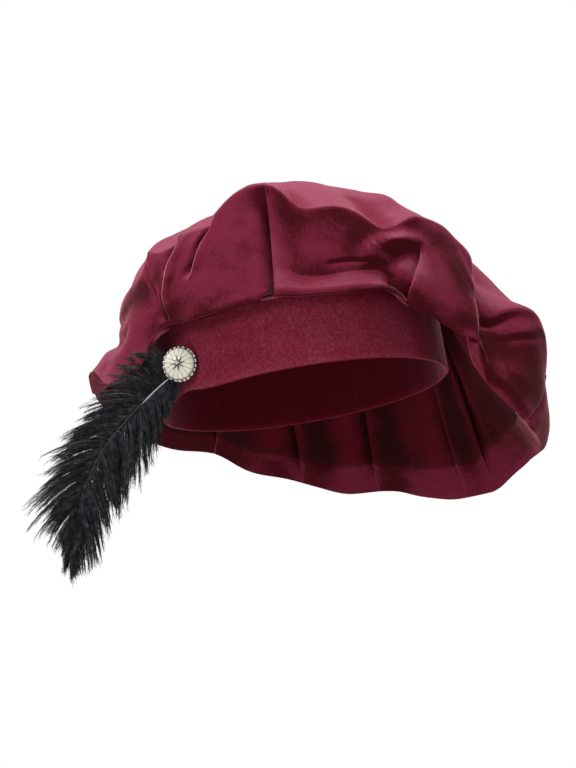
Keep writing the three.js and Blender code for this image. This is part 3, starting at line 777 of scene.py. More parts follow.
@dataclass
class Headband:
    """The plain headband: one turn of doubled velvet, folded round at its lower edge, with a seam behind the
    brooch. The rim lifts a little at the brooch, and the seam leans and has a low bulge beside its groove."""

    half_width: float = 90.9
    half_length: float = 101.7
    height: float = 52.0
    wall: float = 2.4
    top_round: float = 0.5
    levels: int = 18
    columns: int = 360
    arc_per_degree: float = 1.7
    # where the rim lifts, at the brooch
    lift_azimuth: float = -47.0
    lift_height: float = 3.5
    lift_width: float = 9.0
    # the seam's azimuth at the band's top, how far it leans to the rim, its groove and the bulge beside it
    seam_azimuth: float = -43.5
    seam_lean: float = -2.6
    seam_depth: float = 0.9
    seam_width: float = 0.9
    bulge_away: float = 2.4
    bulge_width: float = 1.8
    # the slight ripples of laid velvet
    ripple: float = 0.5
    ripple_height: float = 26.0
    ripples_round: float = 3.5
    # how the pile looks: a painted highlight along the rim, and painted shade on the inner face
    rim_painted_highlight: float = 0.3
    rim_width: float = 1.6
    inner_painted_shade: float = 0.35
    # the strip before it is sewn round, in metres: the head's 58 cm with the join, and its height
    flat: tuple[float, float] = (0.61, 0.054)

    def radius(self, azimuth: Any, inset: float = 0.0) -> Any:
        """Gives the distance of the band's outline from its axis, in millimetres.

        Args:
            azimuth: Degrees, a number or an array.
            inset: How far inside the outer face, in millimetres.

        Returns:
            The radius.
        """
        a = np.radians(azimuth)
        return 1 / np.hypot(np.sin(a) / (self.half_width - inset), np.cos(a) / (self.half_length - inset))

    def profile(self) -> list[tuple[float, float]]:
        """Gives the wall's section as inset and height: up the outer face, over and down the inner one.

        Returns:
            The points of a closed outline, in millimetres.
        """
        edge = self.wall / 2
        turn = [math.radians(a) for a in range(0, 181, 30)]
        levels = np.linspace(edge, self.height - 0.6, self.levels)
        outer = [(0.0, z) for z in levels]
        over = [(self.top_round, self.height), (self.wall - self.top_round, self.height)]
        inner = [(self.wall, z) for z in levels[::-1]]
        under = [(edge + edge * math.cos(a), edge - edge * math.sin(a)) for a in turn[1:-1]]
        return outer + over + inner + under

    def point(self, azimuth: float, inset: float, z: float) -> Vector:
        """Gives a point of the band, with its lifted rim, its seam and the slight ripples of laid velvet.

        Args:
            azimuth: Degrees.
            inset: How far inside the outer face, in millimetres.
            z: Height in the plain band, in millimetres.

        Returns:
            The point in metres.
        """
        away = (azimuth - self.lift_azimuth + 180) % 360 - 180
        lift = self.lift_height * math.exp(-((away / self.lift_width) ** 2)) * (1 - z / self.height)
        here = Vector((math.sin(math.radians(azimuth)), -math.cos(math.radians(azimuth)), 0))
        where = here * self.ripples_round + Vector((0, 0, z / self.ripple_height))
        wave = self.ripple * noise.fractal(where, 1.0, 2.0, 3)
        seam = (azimuth - self.seam_azimuth - self.seam_lean * (1 - z / self.height)) * self.arc_per_degree
        above_rim = float(smooth(z, 3.0, 8.0))
        groove = self.seam_depth * math.exp(-((seam / self.seam_width) ** 2)) * above_rim
        aside = (seam - self.bulge_away) / self.bulge_width
        bulge = 0.5 * self.seam_depth * math.exp(-(aside**2)) * above_rim
        outer = 1 - inset / self.wall
        radius = float(self.radius(azimuth, inset)) + wave + outer * (bulge - groove)
        return Vector((radius * here.x, radius * here.y, z + lift)) * MM

    @staticmethod
    def shade(turn: float, z: float) -> float:
        """Gives the painted shade on the outer face: at both sides, and the painted shadow where the crown's
        hem hangs close.

        Args:
            turn: Azimuth from -180 to 180.
            z: Height, in millimetres.

        Returns:
            The darkening.
        """
        sides = 0.9 * float(smooth(turn, 42, 84)) + 0.5 * float(smooth(-turn, 50, 64))
        return sides + 0.6 * float(smooth(z, 34, 50) * smooth(turn, 4, 40))

    def build(self, finish: Velvet) -> bpy.types.Object:
        """Makes the band.

        Args:
            finish: Its velvet.

        Returns:
            The piece.
        """
        section = self.profile()
        count = len(section)
        bm = bmesh.new()
        bmesh.ops.create_grid(bm, x_segments=self.columns, y_segments=count, size=1.0)
        ridge, painted_light = bm.verts.layers.float.new("ridge"), bm.verts.layers.float.new("painted_light")
        for vert in bm.verts:
            i = round((vert.co.x + 1) / 2 * self.columns) % self.columns
            inset, z = section[round((vert.co.y + 1) / 2 * count) % count]
            vert.co = self.point(360 * i / self.columns, inset, z)
            # a painted highlight along the rim
            vert[ridge] = self.rim_painted_highlight * math.exp(-((z / self.rim_width) ** 2))
            turn = (i * 360 / self.columns + 180) % 360 - 180
            # painted shade: on the outer face at the sides and under the crown's hem, and all over the inner
            # face
            vert[painted_light] = -self.shade(turn, z) if inset < self.top_round else -self.inner_painted_shade
        bmesh.ops.remove_doubles(bm, verts=bm.verts[:], dist=0.01 * MM)
        outward(bm, Vector((0, 0, self.height / 2 * MM)))
        band = finished("headband", bm, finish.material())
        place(band, "velvet_band", "band")
        return band


class Surface:
    """The crown's plain surface: rings joined along the cloth by smooth meridians."""

    STEP = 0.5

    def __init__(
        self, band: Headband, apex: float, seat: float, clearance: float, reach: float, rise: float
    ) -> None:
        """Works out the table of the rings at close azimuths.

        Args:
            band: The headband on which the crown is gathered.
            apex: Height of the apex, in millimetres.
            seat: Gap between the crown's edge and the band.
            clearance: Gap between the band and the underside where it turns up to it.
            reach: How far out the turned underside lies, as a share of the way to the hem.
            rise: How high it lies, as a share of the way up to the band.
        """
        azimuths = np.arange(0, 360, self.STEP)
        rings = [self.ring(rows, azimuths) for rows in (BROW, CREST, HOLLOW, FACE, HEM)]
        zero = np.zeros_like(azimuths)
        outline = band.radius(azimuths)
        hem = rings[-1]
        near = outline + clearance
        turned = (near + reach * (hem[:, 0] - near), hem[:, 1] + rise * (band.height - hem[:, 1]))
        top = np.stack([zero, zero + apex], -1)
        seated = np.stack([outline + seat, zero + band.height + seat], -1)
        self.table = np.stack([top, *rings, np.stack(turned, -1), seated], 1)

    @staticmethod
    def ring(rows: Iterable[tuple[float, float, float]], azimuth: np.ndarray) -> np.ndarray:
        """Follows a ring round the hat by a closed curve that never swings beyond its rows.

        Args:
            rows: Azimuth, radius and height.
            azimuth: Where to read the ring, in degrees.

        Returns:
            Radius and height at each azimuth.
        """
        known = np.array(sorted((a % 360, r, z) for a, r, z in rows), float)
        x = np.concatenate([known[-2:, 0] - 360, known[:, 0], known[:3, 0] + 360])
        y = np.concatenate([known[-2:, 1:], known[:, 1:], known[:3, 1:]])
        return monotone(x, y, np.mod(azimuth, 360))

    def controls(self, azimuth: np.ndarray, low: Any, high: Any) -> np.ndarray:
        """Gives every ring's radius and height.

        Args:
            azimuth: Degrees.
            low: Lowest azimuth at which each ring is read.
            high: Highest azimuth at which each ring is read.

        Returns:
            Radius and height of each ring at each azimuth.
        """
        q = np.mod(np.clip(azimuth[..., None], low, high), 360) / self.STEP
        i = np.floor(q).astype(int) % len(self.table)
        t = (q - np.floor(q))[..., None]
        ring = np.arange(self.table.shape[1])
        return self.table[i, ring] * (1 - t) + self.table[(i + 1) % len(self.table), ring] * t

    def point(self, azimuth: np.ndarray, v: np.ndarray, low: Any = -FREE, high: Any = FREE) -> np.ndarray:
        """Gives points of the plain surface.

        Args:
            azimuth: Degrees.
            v: How far along the cloth, from 0 at the apex to 1 at the band.
            low: Lowest azimuth at which each ring is read.
            high: Highest azimuth at which each ring is read.

        Returns:
            Positions in millimetres.
        """
        y = self.controls(azimuth, low, high)
        x = np.array(PLACES)
        h = np.diff(x)
        d = np.diff(y, axis=-2) / h[:, None]
        m = np.empty_like(y)
        w = (h[1:] / (h[1:] + h[:-1]))[:, None]
        m[..., 1:-1, :] = w * d[..., :-1, :] + (1 - w) * d[..., 1:, :]
        m[..., 0, :] = d[..., 0, :]
        m[..., 0, 1] = 0
        m[..., -1, :] = d[..., -1, :]
        before, after = m.copy(), m.copy()
        for ring, first, last, crisp in CRISP:
            middle, half = (first + last) / 2, (last - first) / 2
            away = np.abs(np.mod(azimuth - middle + 180, 360) - 180)
            share = (crisp * (1 - smooth(away, half - 3, half + 1)))[..., None]
            before[..., ring, :] += share * (d[..., ring - 1, :] - m[..., ring, :])
            after[..., ring, :] += share * (d[..., ring, :] - m[..., ring, :])
        i = np.clip(np.searchsorted(x, v, side="right") - 1, 0, len(x) - 2)

        def take(values: np.ndarray, k: np.ndarray) -> np.ndarray:
            """Picks ring k of each meridian."""
            places = np.broadcast_to(k[..., None, None], k.shape + (1, 2))
            return np.take_along_axis(values, places, axis=-2)[..., 0, :]

        t = ((v - x[i]) / h[i])[..., None]
        span = h[i][..., None]
        rz = blend_cubic(take(y, i), take(y, i + 1), take(after, i) * span, take(before, i + 1) * span, t)
        a = np.radians(azimuth)
        return np.stack([rz[..., 0] * np.sin(a), -rz[..., 0] * np.cos(a), rz[..., 1]], -1)

    def normal(self, azimuth: np.ndarray, v: np.ndarray, low: Any = -FREE, high: Any = FREE) -> np.ndarray:
        """Gives the outward direction of the plain surface.

        Args:
            azimuth: Degrees.
            v: How far along the cloth.
            low: Lowest azimuth at which each ring is read.
            high: Highest azimuth at which each ring is read.

        Returns:
            Unit directions.
        """
        around = self.point(azimuth + 0.8, v, low, high) - self.point(azimuth - 0.8, v, low, high)
        after, before = np.minimum(v + 0.01, 1), np.maximum(v - 0.01, 0)
        down = self.point(azimuth, after, low, high) - self.point(azimuth, before, low, high)
        n = np.cross(down, around)
        return n / np.maximum(np.linalg.norm(n, axis=-1, keepdims=True), 1e-9)


def blend_cubic(y0: Any, y1: Any, m0: Any, m1: Any, t: Any) -> Any:
    """Joins two values by a cubic with the given slopes.

    Args:
        y0: Value at t = 0.
        y1: Value at t = 1.
        m0: Slope at t = 0, for a step of 1.
        m1: Slope at t = 1.
        t: Where to read it.

    Returns:
        The value at t.
    """
    t2, t3 = t * t, t * t * t
    return (2 * t3 - 3 * t2 + 1) * y0 + (t3 - 2 * t2 + t) * m0 + (3 * t2 - 2 * t3) * y1 + (t3 - t2) * m1


def monotone(x: np.ndarray, y: np.ndarray, q: np.ndarray) -> np.ndarray:
    """Joins points by cubics that never swing beyond them.

    Args:
        x: Growing places of the points.
        y: Their values, one row for each place.
        q: Where to read the curve.

    Returns:
        The values at q.
    """
    y = y if y.ndim > 1 else y[:, None]
    h = np.diff(x)[:, None]
    d = np.diff(y, axis=0) / h
    before, after = 2 * h[1:] + h[:-1], h[1:] + 2 * h[:-1]
    with np.errstate(divide="ignore", invalid="ignore"):
        inner = np.where(d[:-1] * d[1:] > 0, (before + after) / (before / d[:-1] + after / d[1:]), 0.0)
    m = np.concatenate([d[:1], inner, d[-1:]])
    i = np.clip(np.searchsorted(x, q, side="right") - 1, 0, len(x) - 2)
    span = (x[i + 1] - x[i])[..., None]
    t = (q - x[i])[..., None] / span
    return blend_cubic(y[i], y[i + 1], m[i] * span, m[i + 1] * span, t)


def smooth_curve(rows: np.ndarray, places: np.ndarray, at: np.ndarray, ahead: float = 0.0) -> np.ndarray:
    """Follows rows by a smooth curve through them.

    Args:
        rows: The values at each place.
        places: The rows' places, which grow.
        at: Where to read the curve.
        ahead: How much further on to read it, as a share of the step between two rows.

    Returns:
        The values there.
    """
    slope = np.gradient(rows, places, axis=0)
    i = np.clip(np.searchsorted(places, at, side="right") - 1, 0, len(places) - 2)
    span = (places[i + 1] - places[i])[:, None]
    u = (at - places[i])[:, None] / span + ahead
    return blend_cubic(rows[i], rows[i + 1], slope[i] * span, slope[i + 1] * span, u)


class FoldRelief:
    """One soft fold, laid out on the cloth in millimetres round its middle."""

    POINTS = 40
    WIDTHS = 3

    def __init__(self, fold: Fold, surface: Surface) -> None:
        """Measures the cloth at the fold's middle and smooths its line.

        Args:
            fold: Its row.
            surface: The plain surface that it lies on.
        """
        self.fold = fold
        rows = np.array(fold.line, float)
        self.line = smooth_curve(rows, np.linspace(0, 1, len(rows)), np.linspace(0, 1, self.POINTS))
        self.middle, v = self.line[self.POINTS // 2, :2]
        a = np.array(self.middle)
        self.around = float(np.linalg.norm(surface.point(a + 1, v) - surface.point(a - 1, v)) / 2)
        self.down = float(np.linalg.norm(surface.point(a, v + 0.02) - surface.point(a, v - 0.02)) / 0.04)

    def height(self, azimuth: np.ndarray, v: np.ndarray) -> np.ndarray:
        """Gives how far the fold lifts the cloth.

        Args:
            azimuth: Degrees.
            v: How far along the cloth.

        Returns:
            Heights in millimetres.
        """
        fold = self.fold
        x = (np.mod(azimuth - self.middle + 180, 360) - 180 + self.middle) * self.around
        y = v * self.down + 0 * x
        lx, ly = self.line[:, 0] * self.around, self.line[:, 1] * self.down
        edge = self.WIDTHS * max(fold.below, fold.above)
        near = (x > lx.min() - edge) & (x < lx.max() + edge)
        near &= (y > ly.min() - edge) & (y < ly.max() + edge)
        total = np.zeros(x.shape)
        if not near.any():
            return total
        px, py = x[near], y[near]
        best = np.full(px.shape, np.inf)
        height, across, beyond = (np.zeros_like(px) for _ in range(3))
        last = len(lx) - 2
        for k in range(last + 1):
            dx, dy = lx[k + 1] - lx[k], ly[k + 1] - ly[k]
            length = math.hypot(dx, dy)
            t = ((px - lx[k]) * dx + (py - ly[k]) * dy) / length**2
            inside = np.clip(t, 0, 1)
            distance = (px - lx[k] - inside * dx) ** 2 + (py - ly[k] - inside * dy) ** 2
            take = distance < best
            best = np.where(take, distance, best)
            rise = self.line[k, 2] + (self.line[k + 1, 2] - self.line[k, 2]) * inside
            height = np.where(take, rise, height)
            across = np.where(take, dx * (py - ly[k]) - dy * (px - lx[k]), across)
            past = np.abs(t - inside) * length if k in (0, last) else 0 * t
            beyond = np.where(take, past, beyond)
        width = np.where(across > 0, fold.below, fold.above)
        side = np.sqrt(np.maximum(best - beyond**2, 0))
        end = 0.5 * (fold.below + fold.above)
        total[near] = height * np.exp(-((side / width) ** fold.roundness) - (beyond / end) ** 2)
        return total


class Column(NamedTuple):
    """A column of the crown's cloth, from the apex to the band: its azimuths, how far it stands off the plain
    surface, the azimuths between which each ring is read there, and the panel that it belongs to."""

    azimuth: np.ndarray
    offset: np.ndarray
    low: np.ndarray
    high: np.ndarray
    panel: float


@dataclass
class Crown:
    """The gathered crown: velvet that runs from the apex over the crest, hangs over the band and the wearer's
    left shoulder, and turns back under itself to the top of the band. Knife pleats gather it."""

    band: Headband
    apex: float = 124.0
    # gaps to the band's top and to its side, and how far out and up the underside lies where it turns
    seat: float = 0.45
    clearance: float = 1.6
    reach: float = 0.42
    rise: float = 0.52
    # where the seam below the hem lies along the cloth, and the cloth's thickness
    seam: float = 0.82
    cloth: float = 1.3
    # how a panel swells between its pleats, how wide its tucked and its lifted edge run out, and the smallest
    # radius at which the width of a lap is turned into degrees
    puff: float = 0.035
    tucked_reach: float = 2.4
    least_tucked: float = 0.12
    most_tucked: float = 0.45
    lifted_reach: float = 0.35
    least_radius: float = 30.0
    # how much of a pleat's jump each ring takes
    jump_share: tuple[float, ...] = (0, 0, 1, 1, 0.6, 0, 0, 0)
    # rows near the apex, above the seam and below it, columns in a lap, and degrees between columns in front,
    # between the two azimuths named, and behind
    apex_rows: int = 20
    apex_until: float = 0.2
    top_rows: int = 128
    under_rows: int = 36
    lap_columns: int = 4
    front_step: float = 0.85
    back_step: float = 2.3
    front_from: float = 300.0
    front_to: float = 112.0
    # the slight unevenness of draped cloth
    crumple: float = 0.7
    crumple_size: float = 24.0
    # how a ridge is measured for its painted highlight and painted shade, and how much painted light the
    # slouched side's underside gets
    ridge_reach: int = 3
    ridge_full: float = 1.1
    slouch_painted_light: float = 0.55
    # what the two pieces were cut from, in metres, and the areas used, in square metres
    top_flat: tuple[float, float] = (0.52, 0.52)
    top_area: float = 0.16
    under_flat: tuple[float, float] = (0.38, 0.38)
    under_area: float = 0.047
    surface: Surface = field(init=False)
    folds: list[FoldRelief] = field(init=False)

    def __post_init__(self) -> None:
        """Works out the plain surface and lays the folds on it."""
        self.surface = Surface(self.band, self.apex, self.seat, self.clearance, self.reach, self.rise)
        self.folds = [FoldRelief(fold, self.surface) for fold in FOLDS]

    def edge_azimuth(self, pleat: Pleat, v: np.ndarray) -> np.ndarray:
        """Follows a pleat's edge along the cloth.

        Args:
            pleat: Its row.
            v: How far along the cloth.

        Returns:
            The edge's azimuth, taken round to grow from 0 at the front.
        """
        places = np.array([*PLACES[1:6], PLACES[-1]])
        edge = monotone(places, np.array(pleat[:6], float), np.clip(v, places[0], 1))[:, 0]
        return edge + (360 if pleat.hem < 0 else 0)

    @staticmethod
    def strength(pleat: Pleat, v: np.ndarray) -> np.ndarray:
        """Gives how strong a pleat is: outside it grows and fades, and below the hem it may carry on.

        Args:
            pleat: Its row.
            v: How far along the cloth.

        Returns:
            The strength, from 0 to 1.
        """
        grown = smooth(v, pleat.start, pleat.start + pleat.onset)
        outside = grown * (1 - smooth(v, pleat.end - 0.08, pleat.end))
        below = pleat.under * smooth(v, 0.76, 0.88) * (1 - 0.75 * smooth(v, 0.93, 1.0))
        return outside + below

    def panel(self, pleat: Pleat, following: Pleat, v: np.ndarray, turn: float) -> list[Column]:
        """Divides the panel between two pleats, and the lap that follows it, into columns.

        Args:
            pleat: The pleat at its start.
            following: The pleat at its end.
            v: The rows, as places along the cloth.
            turn: 360 where the panel closes the round.

        Returns:
            The columns.
        """
        a0 = self.edge_azimuth(pleat, v)
        a1 = self.edge_azimuth(following, v) + turn
        s0, s1 = self.strength(pleat, v), self.strength(following, v)
        r0, r1 = (
            np.maximum(np.hypot(*self.surface.point(edge, v)[..., :2].T), self.least_radius)
            for edge in (a0, a1)
        )
        lap0, lap1 = np.degrees(pleat.lap * s0 / r0), np.degrees(following.lap * s1 / r1)
        start = a0 if pleat.over > 0 else a0 - lap0
        stop = a1 + lap1 if following.over > 0 else a1
        off0 = pleat.lift * s0 if pleat.over > 0 else -pleat.tuck * s0
        off1 = -following.tuck * s1 if following.over > 0 else following.lift * s1
        width = np.radians(a1 - a0) * r1
        soft = np.minimum(0.5 * (s0 + s1), 1.0)
        middle = 0.5 * (pleat.hem + following.hem + turn) % 360
        step = self.front_step if middle < self.front_to or middle > self.front_from else self.back_step
        count = max(8, round(float(np.max(a1 - a0)) / step))
        depth = following.tuck if following.over > 0 else pleat.tuck
        tucked = self.tucked_reach * depth / np.maximum(width, 1.0)
        tucked = np.clip(tucked, self.least_tucked, self.most_tucked)
        jumps = np.array(self.jump_share)
        low = pleat.ring_edges() + pleat.jump * jumps if pleat.jump else np.full(len(PLACES), -FREE)
        high = following.ring_edges() + turn if following.jump else np.full(len(PLACES), FREE)
        columns = []
        for share in np.linspace(0, 1, count + 1):
            near = off0 * (1 - smooth(share, 0, self.lifted_reach if pleat.over > 0 else tucked))
            far = off1 * smooth(share, 1 - (tucked if following.over > 0 else self.lifted_reach), 1.0)
            bulge = self.puff * width * soft * math.sin(math.pi * share)
            columns.append(Column(start + (stop - start) * share, near + far + bulge, low, high, pleat.hem))
        back = a1 if following.over > 0 else a1 - lap1
        landing = following.lift * s1 if following.over > 0 else -following.tuck * s1
        for k in range(1, self.lap_columns + 1):
            share = k / (self.lap_columns + 1)
            if following.jump:
                low = high = following.ring_edges() + turn + following.jump * jumps * share
            owner = pleat.hem if share < 0.5 else following.hem
            azimuth, offset = stop + (back - stop) * share, off1 + (landing - off1) * share
            columns.append(Column(azimuth, offset, low, high, owner))
        return columns

    def grid(self) -> tuple[np.ndarray, np.ndarray]:
        """Works out the whole cloth as a grid.

        Returns:
            Positions in millimetres, columns by rows, and the rows' places along the cloth.
        """
        near_apex = np.linspace(0, self.apex_until, self.apex_rows, endpoint=False)
        outside = np.linspace(self.apex_until, self.seam, self.top_rows - self.apex_rows, endpoint=False)
        v = np.concatenate([near_apex, outside, np.linspace(self.seam, 1.0, self.under_rows)])
        pleats = sorted(PLEATS, key=lambda p: p.hem % 360)
        columns = []
        for k, pleat in enumerate(pleats):
            last = k + 1 == len(pleats)
            columns += self.panel(pleat, pleats[(k + 1) % len(pleats)], v, 360.0 if last else 0.0)
        azimuth, offset, low, high, panel = (np.array(values) for values in zip(*columns))
        low, high, panel = low[:, None], high[:, None], panel[:, None]
        rows = np.broadcast_to(v, azimuth.shape)
        plain = self.surface.point(azimuth, rows, low, high)
        relief = self.creases(plain)
        for fold in self.folds:
            here = 1.0 if fold.fold.panel is None else panel == fold.fold.panel
            relief += fold.height(azimuth, rows) * here
        lift = (offset + relief * (1 - smooth(rows, 0.92, 0.99))) * smooth(rows, 0.0, 0.05)
        return plain + self.surface.normal(azimuth, rows, low, high) * lift[..., None], v

    def creases(self, plain: np.ndarray) -> np.ndarray:
        """Gives the slight unevenness of draped velvet.

        Args:
            plain: Positions on the plain surface, in millimetres.

        Returns:
            Heights in millimetres.
        """
        flat = plain.reshape(-1, 3) / self.crumple_size
        heights = [self.crumple * noise.fractal(Vector(p), 1.3, 2.1, 3) for p in flat]
        return np.array(heights).reshape(plain.shape[:2])

    def ridges(self, points: np.ndarray, v: np.ndarray) -> tuple[np.ndarray, np.ndarray]:
        """Measures how the cloth lies, for the light and shade painted on its pile.

        Args:
            points: Columns by rows, in millimetres.
            v: The rows' places along the cloth.

        Returns:
            How far each point stands proud of its neighbours, from -1 in a crease to 1 on a fold's edge, for
            painted shade in creases and a painted highlight on edges, and the painted light of its pile: the
            lighter, the more it faces up, with the painted patches.
        """
        k = self.ridge_reach
        padded = np.concatenate([points[:, :1].repeat(k, 1), points, points[:, -1:].repeat(k, 1)], 1)
        sides = np.roll(points, k, 0) + np.roll(points, -k, 0)
        ends = padded[:, 2 * k :] + padded[:, : -2 * k]
        around = np.roll(points, 1, 0) - np.roll(points, -1, 0)
        closed = np.linalg.norm(around, axis=-1, keepdims=True) < 0.05
        around = np.where(closed, np.roll(points, k, 0) - np.roll(points, -k, 0), around)
        down = np.gradient(points, axis=1)
        normal = np.cross(around, down)
        normal /= np.maximum(np.linalg.norm(normal, axis=-1, keepdims=True), 1e-9)
        proud = np.sum((points - 0.25 * (sides + ends)) * normal, axis=-1)
        azimuth = np.degrees(np.arctan2(points[..., 0], -points[..., 1])) % 360
        slouch = smooth(azimuth, 44, 60) * (1 - smooth(azimuth, 200, 240))
        # painted light: the pile is painted lighter the more the cloth faces up, and lighter on the slouched
        # side's underside
        up = normal[..., 2] + self.slouch_painted_light * smooth(v, 0.68, 0.78) * slouch
        # the painted light and painted shade of the patches
        for patch in PAINTED_PATCHES:
            away = (azimuth - patch.azimuth + 180) % 360 - 180
            up += patch.lighter * np.exp(-((away / patch.wide) ** 2) - ((v - patch.place) / patch.long) ** 2)
        # a painted highlight on fold edges, partly crushed pile, and painted shade in creases
        ridge = np.clip(proud / self.ridge_full, -1, 1) * smooth(v, 0.01, 0.05)
        return ridge, np.where(v < 0.02, 1.0, up)

    def wall(
        self, name: str, points: np.ndarray, ridge: np.ndarray, painted_light: np.ndarray, finish: Velvet
    ) -> bpy.types.Object:
        """Makes a closed wall of cloth from a grid that runs round the hat.

        Args:
            name: The piece's name.
            points: Columns by rows, in millimetres.
            ridge: How proud each point stands.
            painted_light: The painted light and shade of its pile.
            finish: The velvet.

        Returns:
            The piece.
        """
        columns, rows = points.shape[:2]
        bm = bmesh.new()
        bm.loops.layers.uv.new("cloth")
        bmesh.ops.create_grid(bm, x_segments=columns, y_segments=rows - 1, size=1.0, calc_uvs=True)
        proud, up = bm.verts.layers.float.new("ridge"), bm.verts.layers.float.new("painted_light")
        for vert in bm.verts:
            i = round((vert.co.x + 1) / 2 * columns) % columns
            j = round((vert.co.y + 1) / 2 * (rows - 1))
            vert.co = points[i, j] * MM
            vert[proud], vert[up] = ridge[i, j], painted_light[i, j]
        bmesh.ops.remove_doubles(bm, verts=bm.verts[:], dist=0.001 * MM)
        bmesh.ops.smooth_vert(
            bm,
            verts=[v for v in bm.verts if not v.is_boundary],
            factor=0.5,
            use_axis_x=True,
            use_axis_y=True,
            use_axis_z=True,
        )
        outward(bm, Vector((0, 0, 0.06)))
        piece = finished(name, bm, finish.material())
        solid = piece.modifiers.new("cloth", "SOLIDIFY")
        solid.thickness = self.cloth * MM
        solid.offset = -1.0
        return piece

    def build(self, top: Velvet, under: Velvet) -> list[bpy.types.Object]:
        """Makes the crown's two walls, sewn together below the hem.

        Args:
            top: The velvet outside.
            under: The velvet of the underside, a darker copy painted for its shade.

        Returns:
            The two pieces.
        """
        points, v = self.grid()
        ridge, painted_light = self.ridges(points, v)
        seam = self.top_rows
        above, below = np.s_[:, : seam + 1], np.s_[:, seam:]
        crown = self.wall("crown_velvet", points[above], ridge[above], painted_light[above], top)
        place(crown, "velvet", "crown_top")
        lower = self.wall("crown_underside", points[below], ridge[below], painted_light[below], under)
        place(lower, "velvet_underside", "crown_under")
        return [crown, lower]


